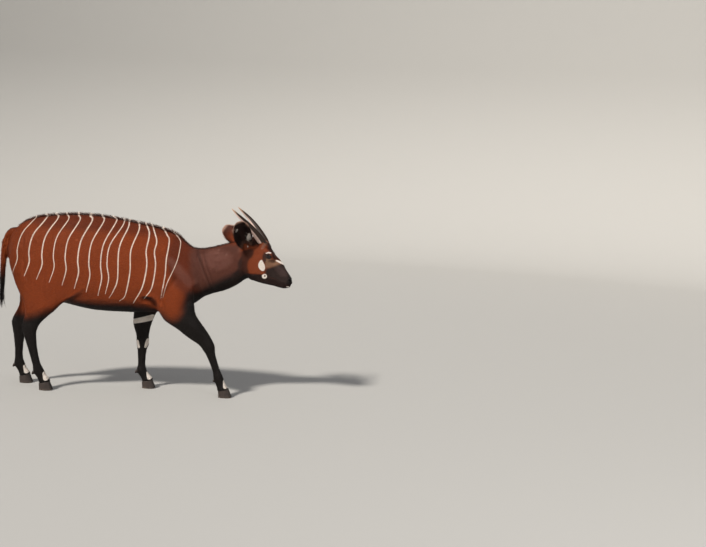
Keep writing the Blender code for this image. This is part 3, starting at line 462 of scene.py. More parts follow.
def largestPart(obj):  # keeps the one outer surface
    sheet = sheetOf(obj.data)
    seen, best = set(), []
    for start in sheet.verts:
        if start in seen:
            continue
        seen.add(start)
        group, queue = [start], [start]
        while queue:
            here = queue.pop()
            for edge in here.link_edges:
                other = edge.other_vert(here)
                if other not in seen:
                    seen.add(other)
                    group.append(other)
                    queue.append(other)
        if len(group) > len(best):
            best = group
    if len(best) < len(sheet.verts):
        kept = set(best)
        bmesh.ops.delete(sheet, geom=[v for v in sheet.verts if v not in kept], context="VERTS")
    layBack(sheet, obj.data)
    return obj


def formRounds(points):  # how much the form is smoothed, from place to place
    flat = turned(points, -1)
    head = smooth(flat[:, 0], 0.58, 0.68) * smooth(flat[:, 2], 0.70, 0.74)
    leg = 1 - smooth(flat[:, 2], 0.50, 0.62)
    tail = smooth(-flat[:, 0], 0.91, 0.93)
    plan = skinPlan["formRounds"]
    rounds = plan["trunk"] + plan["head"] * head + plan["legs"] * leg * (1 - head)
    return np.where(tail > 0.5, plan["tail"], rounds)


def refineZones(points):  # how many times the mesh is made finer, from place to place
    flat = folded(points)
    level = np.zeros(len(points))
    level[(flat[:, 2] < 0.36)] = 1
    level[(flat[:, 0] > 0.64) & (flat[:, 2] > 0.7)] = 1
    level[(flat[:, 0] > 0.83) & (flat[:, 2] > 0.7)] = 2
    nearEye = np.linalg.norm(flat - np.array(eyes["centre"]), axis=1)
    level[nearEye < 0.045] = 2
    level[nearEye < 0.030] = 3
    nostril, _ = lineDistance(flat, face["nostril"])
    level[nostril < 0.013] = 3
    return level


# Fine forms of the face, on the left side before the head turns
face = {
    "nostril": [(0.9760, 0.0120, 0.8010), (0.9730, 0.0170, 0.7975), (0.9680, 0.0220, 0.7985),
                (0.9600, 0.0260, 0.8060)],
    "nostrilReach": 0.0040,
    "nostrilDepth": 0.0095,
    "mouth": [(0.8660, 0.0430, 0.7975), (0.9000, 0.0385, 0.7860), (0.9350, 0.0350, 0.7765),
              (0.9600, 0.0290, 0.7725), (0.9740, 0.0180, 0.7715), (0.9800, 0.0, 0.7715)],
    "mouthReach": 0.0022,
    "mouthDepth": 0.0034,
}

# Folds, hollows and swellings: a line in straight places, its reach and its height, all in metres.
# With "side" the line is laid on the flank as seen from the side, and Y isn't given.
brushes = {
    "upper lip": ([(0.900, 0.037, 0.796), (0.945, 0.030, 0.788), (0.972, 0.012, 0.786)], 0.010, 0.0016),
    "lower lip": ([(0.900, 0.033, 0.770), (0.945, 0.026, 0.762), (0.970, 0.008, 0.762)], 0.008, 0.0014),
    "chin": ([(0.925, 0.0, 0.752)], 0.018, 0.0020),
    "nose groove": ([(0.985, 0.0, 0.800), (0.983, 0.0, 0.776)], 0.0024, -0.0016),
    "nostril wing": ([(0.972, 0.020, 0.811), (0.960, 0.027, 0.809), (0.950, 0.029, 0.803)], 0.0055, 0.0020),
    "tear hollow": ([(0.846, 0.050, 0.934), (0.864, 0.044, 0.914)], 0.009, -0.0030),
    "cheek ridge": ([(0.800, 0.062, 0.925), (0.850, 0.048, 0.893), (0.895, 0.040, 0.858)], 0.013, 0.0022),
    "cheek hollow": ([(0.850, 0.046, 0.860), (0.890, 0.040, 0.826)], 0.020, -0.0026),
    "jaw hollow": ([(0.812, 0.052, 0.850), (0.806, 0.050, 0.806)], 0.011, -0.0026),
    "temple": ([(0.764, 0.064, 0.978), (0.742, 0.068, 0.962)], 0.017, -0.0034),
    "brow": ([(0.792, 0.062, 0.990), (0.822, 0.056, 0.994), (0.846, 0.046, 0.978)], 0.008, 0.0020),
    "forehead": ([(0.838, 0.0, 1.000), (0.880, 0.0, 0.952)], 0.014, -0.0012),
    "throat": ([(0.655, 0.0, 0.832), (0.690, 0.0, 0.822)], 0.026, 0.0100),
    "under the jaw": ([(0.740, 0.0, 0.800), (0.860, 0.0, 0.772)], 0.020, -0.0035),
    "nose bridge": ([(0.890, 0.0, 0.938), (0.925, 0.0, 0.905)], 0.024, 0.0055),
    "throat fold": ([(0.668, 0.066, 0.900), (0.664, 0.060, 0.850), (0.668, 0.040, 0.810)], 0.013, -0.0040),
}
sideBrushes = {
    "neck fold": ([(0.335, 1.010), (0.357, 0.916), (0.404, 0.818), (0.445, 0.725)], 0.009, -0.0080),
    "neck fold two": ([(0.384, 1.000), (0.394, 0.917), (0.428, 0.819), (0.456, 0.745)], 0.008, -0.0050),
    "neck fold ridge": ([(0.360, 1.000), (0.376, 0.916), (0.417, 0.818), (0.451, 0.735)], 0.008, 0.0036),
    "blade front": ([(0.235, 1.030), (0.285, 0.930), (0.318, 0.850), (0.325, 0.790)], 0.016, -0.0060),
    "blade spine": ([(0.110, 0.960), (0.166, 0.900), (0.278, 0.795), (0.330, 0.755)], 0.024, 0.0085),
    "blade rear": ([(0.100, 0.930), (0.150, 0.830), (0.200, 0.780)], 0.020, -0.0040),
    "point of shoulder": ([(0.320, 0.740), (0.300, 0.690)], 0.032, 0.0080),
    "upper arm": ([(0.230, 0.700), (0.205, 0.640), (0.195, 0.590)], 0.045, 0.0080),
    "upper arm edge": ([(0.214, 0.790), (0.167, 0.720), (0.130, 0.657), (0.126, 0.602)], 0.012, -0.0100),
    "arm hollow": ([(0.300, 0.640), (0.262, 0.585)], 0.018, -0.0060),
    "elbow fold": ([(0.030, 0.672), (0.073, 0.666), (0.104, 0.633), (0.122, 0.600)], 0.011, 0.0110),
    "armpit": ([(0.010, 0.640), (0.052, 0.626), (0.078, 0.590)], 0.016, -0.0120),
    "belly line": ([(-0.430, 0.640), (-0.300, 0.655), (-0.100, 0.668), (0.020, 0.690)], 0.020, -0.0016),
    "flank hollow": ([(-0.430, 1.050), (-0.420, 0.980)], 0.050, -0.0100),
    "hip hollow": ([(-0.700, 1.075), (-0.780, 1.040)], 0.040, -0.0060),
    "stifle fold": ([(-0.395, 0.700), (-0.450, 0.655), (-0.520, 0.610)], 0.016, 0.0060),
    "thigh front": ([(-0.540, 0.900), (-0.530, 0.760)], 0.050, 0.0060),
    "thigh groove": ([(-0.800, 1.010), (-0.785, 0.850), (-0.745, 0.700)], 0.014, -0.0050),
    "thigh rear": ([(-0.850, 0.930), (-0.840, 0.800)], 0.028, 0.0040),
}
ribs = {
    "count": 8,
    "first": (-0.020, 0.900),
    "step": -0.046,
    "up": 0.10,
    "down": 0.20,
    "slant": -0.08,
    "reach": 0.014,
    "height": 0.0004,
}
# Cords and bones of the legs: a line (x, y, z), reach and height
legBrushes = {
    "near fore cord": ([(0.430, -0.133, 0.262), (0.478, -0.128, 0.190), (0.500, -0.130, 0.150)],
                       0.0060, -0.0030),
    "near fore inner cord": ([(0.430, -0.083, 0.262), (0.478, -0.088, 0.190), (0.500, -0.086, 0.150)],
                             0.0060, -0.0030),
    "far fore cord": ([(-0.050, 0.126, 0.240), (-0.044, 0.121, 0.190), (-0.046, 0.124, 0.145)],
                      0.0060, -0.0030),
    "far fore inner cord": ([(-0.050, 0.078, 0.240), (-0.044, 0.081, 0.190), (-0.046, 0.078, 0.145)],
                            0.0060, -0.0030),
    "near knee": ([(0.482, -0.108, 0.340), (0.492, -0.108, 0.312)], 0.018, 0.0030),
    "far knee": ([(0.008, 0.103, 0.325), (0.004, 0.103, 0.298)], 0.018, 0.0030),
    "near hock hollow": ([(-0.752, -0.142, 0.450), (-0.760, -0.138, 0.500)], 0.011, -0.0060),
    "near hock inner hollow": ([(-0.752, -0.090, 0.450), (-0.760, -0.094, 0.500)], 0.011, -0.0060),
    "far hock hollow": ([(-0.868, 0.142, 0.455), (-0.862, 0.138, 0.505)], 0.011, -0.0060),
    "far hock inner hollow": ([(-0.868, 0.090, 0.455), (-0.862, 0.094, 0.505)], 0.011, -0.0060),
    "near hind cord": ([(-0.744, -0.136, 0.330), (-0.727, -0.132, 0.230), (-0.706, -0.134, 0.160)],
                       0.0060, -0.0028),
    "far hind cord": ([(-0.884, 0.136, 0.330), (-0.884, 0.132, 0.230), (-0.880, 0.134, 0.160)],
                      0.0060, -0.0028),
    "forearm near": ([(0.345, -0.150, 0.480), (0.385, -0.145, 0.420)], 0.022, 0.0040),
    "forearm far": ([(-0.030, 0.146, 0.490), (-0.035, 0.140, 0.430)], 0.022, 0.0040),
    "gaskin near": ([(-0.640, -0.160, 0.570), (-0.690, -0.152, 0.520)], 0.026, 0.0050),
    "gaskin far": ([(-0.740, 0.160, 0.570), (-0.800, 0.152, 0.520)], 0.026, 0.0050),
}


def layOn(form):  # moves the lines of the face onto the surface that they mark
    tree = BVHTree.FromPolygons([tuple(p) for p in pointsOf(form)], [tuple(f.vertices) for f in form.polygons])
    for name in ("nostril", "mouth"):
        placed = turned(curveThrough(face[name], 5))
        face[name] = turned(np.array([tuple(tree.find_nearest(Vector(p))[0]) for p in placed]), -1)
    for name, (line, reach, height) in brushes.items():
        placed = turned(curveThrough(line, 5) if len(line) > 2 else np.array(line * (3 - len(line)), float))
        laid = turned(np.array([tuple(tree.find_nearest(Vector(p))[0]) for p in placed]), -1)
        brushes[name] = (laid, reach, height)


def brushed(points, normals):  # the heights that the brushes add along the normals
    flat = folded(points)
    height = np.zeros(len(points))
    for line, reach, amount in brushes.values():
        far, _ = lineDistance(flat, line)
        height += amount * np.exp(-((far / reach) ** 2))
    seen = nearTwin(points)[:, (0, 2)]
    outward = smooth(np.abs(normals[:, 1]), 0.15, 0.6) * smooth(np.abs(points[:, 1]), 0.05, 0.08)
    for line, reach, amount in sideBrushes.values():
        far, _ = lineDistance(seen, line)
        height += amount * np.exp(-((far / reach) ** 2)) * outward
    x, z = ribs["first"]
    for k in range(ribs["count"]):
        top = (x + ribs["step"] * k, z + ribs["up"])
        foot = (top[0] + ribs["slant"], z - ribs["down"])
        far, _ = lineDistance(seen, [top, foot])
        height += ribs["height"] * np.exp(-((far / ribs["reach"]) ** 2)) * outward
    for line, reach, amount in legBrushes.values():
        far, _ = lineDistance(points, line)
        height += amount * np.exp(-((far / reach) ** 2))
    mouth, along = lineDistance(flat, face["mouth"])
    cut = np.exp(-((mouth / face["mouthReach"]) ** 2))
    height -= face["mouthDepth"] * cut * smooth(along, 0.0, 0.10)
    hole, _ = lineDistance(flat, face["nostril"])
    height -= face["nostrilDepth"] * (1 - smooth(hole, 0.0010, face["nostrilReach"]))
    return height


def slitPlace(flat):  # from the eye's middle: ahead, up, over the slit, far, and out from the slit's rim
    x, _, z = eyes["centre"]
    dx, dz = flat[:, 0] - x, flat[:, 2] - z
    tilt = eyes["slitTilt"]
    a = dx * math.cos(tilt) + dz * math.sin(tilt)
    b = -dx * math.sin(tilt) + dz * math.cos(tilt)
    far = np.maximum(np.hypot(dx, dz), 1e-6)
    measure = np.sqrt((a / eyes["slitHalfLength"]) ** 2
                      + (np.abs(b) / eyes["slitHalfHeight"]) ** eyes["slitPower"])
    return dx, dz, b, far, (measure - 1) / np.maximum(measure, 1e-6) * far


def besideEye(flat, far, inner=0.03):  # on the side of the face, near enough to an eye for its lids
    return (far < 0.05) & (np.abs(flat[:, 1]) > inner)


def setLids(points):  # lays both lids over the eyeball and opens the slit between them
    flat = turned(points, -1)
    side = np.where(flat[:, 1] < 0, -1.0, 1.0)
    x, y, z = eyes["centre"]
    dx, dz, b, far, gap = slitPlace(flat)
    onRim = (np.abs(gap) < eyes["rimSnap"]) & (far < 0.03)
    slide = np.where(onRim, 1 - gap / far, 1.0)
    dx, dz, far, gap = dx * slide, dz * slide, far * slide, np.where(onRim, 0.0, gap)
    upper = smooth(b, -0.002, 0.002)
    thick = eyes["lowerLid"] + (eyes["upperLid"] - eyes["lowerLid"]) * upper
    radius = eyes["radius"]
    thin, width = eyes["rimThin"]
    edge = thick * (thin + (1 - thin) * smooth(gap, 0.0, width))
    depth, place = eyes["upperCrease"]
    crease = depth * upper * np.exp(-((gap - place) / eyes["creaseReach"]) ** 2)
    depth, place = eyes["lowerCrease"]
    crease += depth * (1 - upper) * np.exp(-((gap - place) / eyes["creaseReach"]) ** 2)
    reach = radius + edge - crease
    lid = y + np.sqrt(np.maximum(reach ** 2 - far ** 2, 0)) - 0.03 * smooth(far, reach - 0.001, reach + 0.004)
    inner, limit = eyes["hidden"]
    hidden = y + np.sqrt(np.maximum((radius * inner) ** 2 - np.minimum(far, radius * limit) ** 2, 0))
    body = np.abs(flat[:, 1])
    low = body - eyes["sink"] * (1 - smooth(far, *eyes["sinkReach"]))
    meet = eyes["meet"]
    rounded = np.maximum(meet - np.abs(lid - low), 0) / meet
    outer = np.maximum(lid, low) + rounded ** 2 * meet / 4
    onFace = besideEye(flat, far, y - 0.03)
    made = np.where(gap < -0.0001, hidden, outer)
    made = np.where(onFace, made, body)
    return turned(np.column_stack((x + dx, made * side, z + dz)))


def refined(obj):
    for level in (1, 2, 3):
        sheet = sheetOf(obj.data)
        zones = refineZones(np.array([v.co for v in sheet.verts]))
        chosen = [e for e in sheet.edges if min(zones[e.verts[0].index], zones[e.verts[1].index]) >= level]
        bmesh.ops.subdivide_edges(sheet, edges=chosen, cuts=1, use_grid_fill=True)
        bmesh.ops.triangulate(sheet, faces=[f for f in sheet.faces if len(f.verts) > 4])
        layBack(sheet, obj.data)
    return obj


def wrapped(obj, form):
    step = obj.modifiers.new("lay on the form", "SHRINKWRAP")
    step.target = form
    step.wrap_method = "NEAREST_SURFACEPOINT"
    return finished(obj)


def coatDepth(points):
    flat = turned(points, -1)
    head = smooth(flat[:, 0], 0.62, 0.74) * smooth(flat[:, 2], 0.70, 0.74)
    low = 1 - smooth(flat[:, 2], 0.36, 0.56)
    thin = np.clip(head + low, 0, 1)
    return skinPlan["coatDepth"] + (skinPlan["faceDepth"] - skinPlan["coatDepth"]) * thin


def united(obj, other):
    step = obj.modifiers.new("join", "BOOLEAN")
    step.operation = "UNION"
    step.solver = "MANIFOLD"
    step.object = other
    finished(obj)
    discard(other)
    return obj


def makeSkin():
    source = joinedFlesh()
    form = largestPart(remeshed(source, skinPlan["formVoxel"]))
    points = pointsOf(form.data)
    setPoints(form.data, relaxed(points, edgesOf(form.data), formRounds(points)))
    layOn(form.data)
    print("form", len(form.data.polygons))
    skin = refined(largestPart(remeshed(source, skinPlan["baseVoxel"])))
    skin.name = "skin"
    wrapped(skin, form)
    mesh = skin.data
    edges = edgesOf(mesh)
    points = relaxed(pointsOf(mesh), edges, np.full(len(mesh.vertices), skinPlan["evenRounds"]))
    setPoints(mesh, points)
    points = points + normalsOf(mesh) * brushed(points, normalsOf(mesh))[:, None]
    throat = np.linalg.norm(turned(points, -1) - np.array(skinPlan["throat"]), axis=1)
    rounds, near, far = skinPlan["throatEased"]
    points = relaxed(points, edges, rounds * (1 - smooth(throat, near, far)))
    setPoints(mesh, points)
    points = points - normalsOf(mesh) * (coatDepth(points) + skinPlan["swell"])[:, None]
    setPoints(mesh, setLids(points))
    discard(form)
    for side in (-1, 1):
        united(skin, makeEar(side))
    mesh = skin.data
    points = pointsOf(mesh)
    root = np.linalg.norm(folded(points) - np.array(ears["root"]), axis=1)
    rounds, near, far = skinPlan["earRootEased"]
    setPoints(mesh, relaxed(points, edgesOf(mesh), rounds * (1 - smooth(root, near, far))))
    shadeSmooth(mesh)
    return skin


skin = makeSkin()
print("skin", len(skin.data.polygons))


# Markings, laid on the near side as seen from the side (x, z), and the same on the far side
def rgb(r, g, b):  # a screen colour as light
    value = np.array((r, g, b)) / 255
    return np.where(value <= 0.04045, value / 12.92, ((value + 0.055) / 1.055) ** 2.4)


hues = {
    "rufous": rgb(149, 64, 19),
    "deepRufous": rgb(103, 42, 19),
    "faceRufous": rgb(142, 66, 32),
    # mauve: the neck's own darker coat, partly lightened by painted reflection off the glossy hair
    "mauve": rgb(105, 60, 47),
    # painted sheen: a lighter mauve that stands in for light reflected off the glossy coat
    "paintedSheen": rgb(138, 88, 75),
    "black": rgb(16, 9, 8),
    "legDark": rgb(22, 14, 11),
    "muzzle": rgb(49, 34, 29),
    "muzzleTop": rgb(77, 58, 54),
    "maroon": rgb(42, 18, 15),
    "tan": rgb(151, 114, 88),
    "paleBrown": rgb(157, 114, 95),
    "earRim": rgb(197, 158, 138),
    "white": rgb(252, 243, 233),
    "stripe": rgb(255, 236, 220),
}
areas = [  # hue, strength, softness in metres, outline; laid one over another
    ("deepRufous", 0.7, 0.060, [(-0.95, 1.30), (0.30, 1.30), (0.30, 1.03), (0.10, 1.06), (-0.95, 1.10)]),
    # the shoulder: partly its darker coat, partly painted shade behind the lit edge of the shoulder
    ("deepRufous", 0.8, 0.050, [(0.20, 1.10), (0.36, 1.05), (0.40, 0.80), (0.33, 0.64), (0.18, 0.78),
                                (0.14, 0.95)]),
    # the neck: its own mauve-brown coat, partly painted reflection
    ("mauve", 0.95, 0.050, [(0.29, 1.01), (0.36, 0.985), (0.60, 1.04), (0.66, 0.98), (0.63, 0.80), (0.40, 0.66),
                            (0.31, 0.78)]),
    # painted sheen on the neck and on the shoulder, where light glances off the coat
    ("paintedSheen", 0.6, 0.040, [(0.38, 0.97), (0.52, 0.99), (0.60, 0.93), (0.52, 0.85), (0.41, 0.86)]),
    ("paintedSheen", 0.5, 0.030, [(0.13, 0.93), (0.20, 0.92), (0.33, 0.78), (0.31, 0.72), (0.22, 0.82)]),
    # painted shade along the two folds at the base of the neck
    ("black", 0.5, 0.022, [(0.328, 1.000), (0.350, 0.916), (0.398, 0.818), (0.444, 0.715), (0.452, 0.722),
                           (0.412, 0.818), (0.364, 0.916), (0.342, 1.000)]),
    ("black", 0.35, 0.018, [(0.380, 1.000), (0.390, 0.917), (0.424, 0.819), (0.452, 0.745), (0.458, 0.750),
                            (0.434, 0.819), (0.399, 0.917), (0.388, 1.000)]),
    ("faceRufous", 0.95, 0.030, [(0.60, 1.08), (0.80, 1.07), (0.83, 0.97), (0.80, 0.84), (0.66, 0.83),
                                 (0.64, 0.95)]),
    ("legDark", 1.0, 0.085, [(-1.0, 0.490), (-0.80, 0.485), (-0.66, 0.525), (-0.50, 0.575), (-0.20, 0.530),
                             (0.060, 0.560), (0.135, 0.555), (0.190, 0.510), (0.245, 0.530), (0.285, 0.620),
                             (0.345, 0.700), (0.430, 0.640), (0.70, 0.60), (0.70, -0.10), (-1.0, -0.10)]),
    ("black", 0.95, 0.060, [(0.300, 0.715), (0.345, 0.695), (0.440, 0.752), (0.560, 0.818), (0.640, 0.855),
                            (0.720, 0.800), (0.60, 0.70), (0.40, 0.58), (0.28, 0.57), (0.275, 0.640)]),
    # the belly between the legs: partly its own dark hair, partly painted shade
    ("black", 0.9, 0.040, [(-0.46, 0.590), (-0.36, 0.585), (0.02, 0.600), (0.02, 0.45), (-0.46, 0.45)]),
    # painted shadow of the ear, cast on the neck behind the cheek
    ("black", 0.75, 0.014, [(0.630, 0.984), (0.640, 0.951), (0.614, 0.905), (0.623, 0.861), (0.570, 0.820),
                            (0.690, 0.830), (0.677, 0.890), (0.690, 0.930), (0.716, 0.950), (0.722, 1.009)]),
    ("black", 0.95, 0.012, [(0.660, 0.838), (0.710, 0.836), (0.771, 0.836), (0.800, 0.832), (0.840, 0.812),
                            (0.872, 0.805), (0.990, 0.785), (1.00, 0.70), (0.60, 0.76)]),
    ("muzzle", 1.0, 0.026, [(0.796, 0.872), (0.841, 0.890), (0.876, 0.914), (0.909, 0.912), (0.940, 0.900),
                            (1.020, 0.820), (1.000, 0.768), (0.930, 0.778), (0.872, 0.797), (0.800, 0.818)]),
    # the top of the muzzle: partly paler hair, partly painted sheen
    ("muzzleTop", 0.7, 0.024, [(0.850, 0.880), (0.885, 0.895), (0.935, 0.870), (0.950, 0.830), (0.900, 0.822)]),
    ("black", 0.8, 0.020, [(0.955, 0.835), (0.990, 0.835), (1.010, 0.775), (0.940, 0.775), (0.950, 0.805)]),
    ("tan", 0.92, 0.024, [(0.796, 0.948), (0.798, 0.905), (0.794, 0.880), (0.835, 0.884), (0.880, 0.900),
                          (0.905, 0.912), (0.872, 0.932), (0.845, 0.938), (0.822, 0.946)]),
    ("muzzle", 0.50, 0.014, [(0.803, 0.932), (0.830, 0.940), (0.858, 0.930), (0.866, 0.920), (0.835, 0.924)]),
    ("muzzle", 0.85, 0.008, [(0.790, 0.990), (0.777, 0.956), (0.784, 0.926), (0.797, 0.905), (0.806, 0.940),
                             (0.801, 0.975)]),
    ("maroon", 0.9, 0.018, [(0.800, 1.050), (0.812, 0.990), (0.850, 0.985), (0.905, 0.925), (0.930, 0.925),
                            (0.840, 1.06)]),
    ("black", 0.85, 0.010, [(0.822, 0.992), (0.836, 0.975), (0.846, 0.942), (0.872, 0.932), (0.912, 0.925),
                            (0.935, 0.930), (0.870, 0.995)]),
    ("paleBrown", 0.8, 0.006, [(0.763, 1.006), (0.797, 1.056), (0.812, 1.045), (0.778, 0.998)]),
    # between the horn's base and the ear: partly dark hair, partly painted shade
    ("black", 0.9, 0.012, [(0.690, 1.030), (0.735, 1.085), (0.765, 1.055), (0.752, 1.018), (0.715, 1.005)]),
]
cheekMark = [(0.773, 0.936), (0.7850, 0.914), (0.7955, 0.893), (0.7965, 0.872), (0.788, 0.856), (0.770, 0.860),
             (0.756, 0.875), (0.7495, 0.893), (0.7530, 0.910), (0.762, 0.926)]
whiteMarks = [  # round-ended marks: two ends, each (x, z, radius)
    ((0.867, 0.930, 0.0035), (0.888, 0.921, 0.0062)),
    ((0.888, 0.921, 0.0062), (0.916, 0.908, 0.0058)),
    ((0.801, 0.9775, 0.0030), (0.815, 0.9825, 0.0042)),
    ((0.815, 0.9825, 0.0042), (0.830, 0.9800, 0.0032)),
    ((0.944, 0.7575, 0.0024), (0.957, 0.757, 0.0030)),
]
ringMark = {"centre": (0.7935, 0.8215), "outer": 0.0170, "dot": 0.0060, "dotPlace": (0.796, 0.8245)}
stripes = {
    "lines": [  # from the shoulder back, each from the back down: x, z
        [(0.172, 1.082), (0.212, 1.045), (0.227, 1.005), (0.212, 0.885), (0.161, 0.761), (0.133, 0.659)],
        [(0.100, 1.108), (0.135, 1.065), (0.154, 1.025), (0.146, 0.890), (0.144, 0.801), (0.122, 0.650)],
        [(0.030, 1.124), (0.073, 1.030), (0.066, 0.956), (0.080, 0.867), (0.062, 0.724), (0.007, 0.643)],
        [(-0.012, 1.130), (0.022, 1.070), (0.014, 0.960), (0.025, 0.865), (0.002, 0.727), (-0.060, 0.613)],
        [(-0.072, 1.150), (-0.048, 1.095), (-0.084, 0.965), (-0.081, 0.818), (-0.109, 0.669), (-0.150, 0.625)],
        [(-0.130, 1.155), (-0.120, 1.105), (-0.160, 0.975), (-0.159, 0.777), (-0.188, 0.692), (-0.219, 0.643)],
        [(-0.165, 1.162), (-0.156, 1.118), (-0.222, 0.990), (-0.232, 0.869), (-0.217, 0.775), (-0.240, 0.670)],
        [(-0.228, 1.172), (-0.205, 1.135), (-0.262, 0.998), (-0.273, 0.867), (-0.263, 0.773), (-0.290, 0.655)],
    ],
    "halves": [0.0022, 0.0038, 0.0038, 0.0042, 0.0038, 0.0038, 0.0034, 0.0038],
    "added": 7,  # the unseen ones towards the tail
    "addedStep": -0.079,
    "addedShrink": 0.962,  # each ends a little higher than the one before
    "addedHalf": 0.0038,
    "addedBend": (0.006, 2.1),  # how far each bows, and how fast that changes from one to the next
    "addedLean": 0.004,
    "addedVaries": (0.15, 1.7),  # the share that the half width varies by, and how fast
    "farShift": 0.014,  # the far side's wander by this
    "taper": 0.10,
}
earMarks = [  # on the inside of each ear: share along, metres across, radius, twice
    ((0.69, -0.030, 0.010), (0.72, -0.022, 0.008)),
    ((0.48, 0.048, 0.004), (0.33, 0.038, 0.0120)),
    ((0.33, 0.038, 0.0120), (0.22, 0.028, 0.006)),
    ((0.11, 0.012, 0.004), (0.10, 0.011, 0.004)),
]
legWhites = [  # patches on the legs: leg, two places (x, z, radius), and whether only on the inner side
    ("foreleg_right", (0.559, 0.112, 0.013), (0.565, 0.080, 0.016), False),
    ("foreleg_left", (0.012, 0.106, 0.013), (0.022, 0.078, 0.016), False),
    ("hindleg_right", (-0.643, 0.112, 0.013), (-0.634, 0.082, 0.016), False),
    ("hindleg_left", (-0.832, 0.112, 0.013), (-0.822, 0.082, 0.016), False),
    ("foreleg_left", (-0.100, 0.456, 0.016), (0.030, 0.490, 0.020), True),
    ("foreleg_left", (-0.066, 0.322, 0.010), (-0.056, 0.284, 0.009), True),
    ("foreleg_left", (-0.010, 0.286, 0.008), (0.004, 0.332, 0.011), True),
    ("foreleg_right", (0.300, 0.500, 0.016), (0.400, 0.560, 0.020), True),
    ("foreleg_right", (0.414, 0.350, 0.010), (0.428, 0.310, 0.009), True),
    ("foreleg_right", (0.474, 0.318, 0.008), (0.486, 0.350, 0.011), True),
    ("hindleg_right", (-0.700, 0.470, 0.012), (-0.712, 0.400, 0.012), True),
    ("hindleg_left", (-0.826, 0.470, 0.012), (-0.838, 0.400, 0.012), True),
]
legSides = {"foreleg_right": -0.108, "foreleg_left": 0.102, "hindleg_right": -0.113, "hindleg_left": 0.113}
throatMark = {"line": [(0.462, -0.055, 0.745), (0.455, 0.0, 0.715), (0.462, 0.055, 0.745)], "half": 0.006}
reaches = {  # where the marks may lie, in metres
    "stripesLowest": 0.53,
    "stripesForemost": 0.28,
    "stripesRearmost": -0.915,
    "head": 0.70,  # ahead of this and above it
    "cheeks": 0.030,  # from the middle of the head
    "legHalf": 0.06,
    "legTop": 0.62,
    "legAlong": 0.2,
    "throatX": (0.40, 0.52),
    "throatTop": 0.82,
    "earX": (0.40, 0.74),
    "earZ": 0.94,
    "earY": 0.04,
}
noStripe, noMark = -0.004, -0.05  # as far outside


def cornersCut(outline, rounds):
    line = np.array(outline, float)
    for _ in range(rounds):
        after = np.roll(line, -1, axis=0)
        line = np.stack((line * 0.75 + after * 0.25, line * 0.25 + after * 0.75), axis=1).reshape(-1, 2)
    return line


def outlineDistance(points, outline, rounds=1):  # how far inside a rounded outline points lie, in the plane
    outline = cornersCut(outline, rounds)
    ring = np.vstack((outline, outline[:1]))
    far, _ = lineDistance(points, ring)
    inside = np.zeros(len(points), bool)
    for (ax, az), (bx, bz) in zip(ring, ring[1:]):
        crosses = (az > points[:, 1]) != (bz > points[:, 1])
        if az != bz:
            x = ax + (points[:, 1] - az) * (bx - ax) / (bz - az)
            inside ^= crosses & (points[:, 0] < x)
    return np.where(inside, far, -far)


def markDistance(points, start, end):  # how far inside a mark with two round ends
    a, b = np.array(start[:2]), np.array(end[:2])
    run = b - a
    t = np.clip(((points - a) @ run) / max(run @ run, 1e-12), 0, 1)
    far = np.linalg.norm(points - a - t[:, None] * run, axis=1)
    return start[2] + (end[2] - start[2]) * t - far


def stripeFields(seen):  # which stripe is near (a whole number is its middle), the gap, and its half width
    lines = [np.array(line) for line in stripes["lines"]]
    halves = list(stripes["halves"])
    bow, bowRate = stripes["addedBend"]
    vary, varyRate = stripes["addedVaries"]
    for k in range(stripes["added"]):
        line = lines[-1] + (stripes["addedStep"], 0)
        bend = np.sin(np.linspace(0, math.pi, len(line)))
        line[:, 0] += bow * math.sin(k * bowRate) * bend - stripes["addedLean"] * k * (1 - line[:, 1])
        line[:, 1] = line[0, 1] - (line[0, 1] - line[:, 1]) * stripes["addedShrink"]
        lines.append(line)
        halves.append(stripes["addedHalf"] * (1 + vary * math.sin(k * varyRate)))
    x, z = seen[:, 0], seen[:, 1]
    places, slopes, ends = [], [], []
    for line in lines:
        fine = curveThrough(line, 5)[::-1]
        places.append(np.interp(z, fine[:, 1], fine[:, 0]))
        slopes.append(np.interp(z, fine[:, 1], np.gradient(fine[:, 0], fine[:, 1])))
        ends.append(line[-1, 1])
    places, slopes = np.array(places), np.array(slopes)
    behind = np.clip((places > x).sum(axis=0) - 1, 0, len(lines) - 2)
    rows = np.arange(len(x))
    front, back = places[behind, rows], places[behind + 1, rows]
    gap = np.maximum(front - back, 0.004)
    index = behind + (front - x) / gap
    index = np.clip(index, -0.45, len(lines) - 0.55)
    nearest = np.clip(np.round(index).astype(int), 0, len(lines) - 1)
    gap = gap / np.sqrt(1 + slopes[nearest, rows] ** 2)
    end = np.array(ends)[nearest]
    half = np.array(halves)[nearest] * (0.45 + 0.55 * smooth(z, end, end + stripes["taper"]))
    half = half - 1.2 * np.maximum(end - z, 0)
    return index, gap, half


tints = {  # laid over the areas: hue and strength
    # belly: partly dark hair, partly painted shade under the trunk
    "belly": ("black", 0.85),
    "spine": ("maroon", 0.85),
    "tail": ("black", 1.0),
    "earInside": ("black", 0.95),
    "earTip": ("maroon", 0.8),
    "earBase": ("paleBrown", 0.7),
    "earRim": ("earRim", 0.9),
    "lids": ("black", 0.85),
}


def tinted(colour, tint, share):
    hue, strength = tints[tint]
    return colour + (hues[hue] - colour) * (share * strength)[:, None]


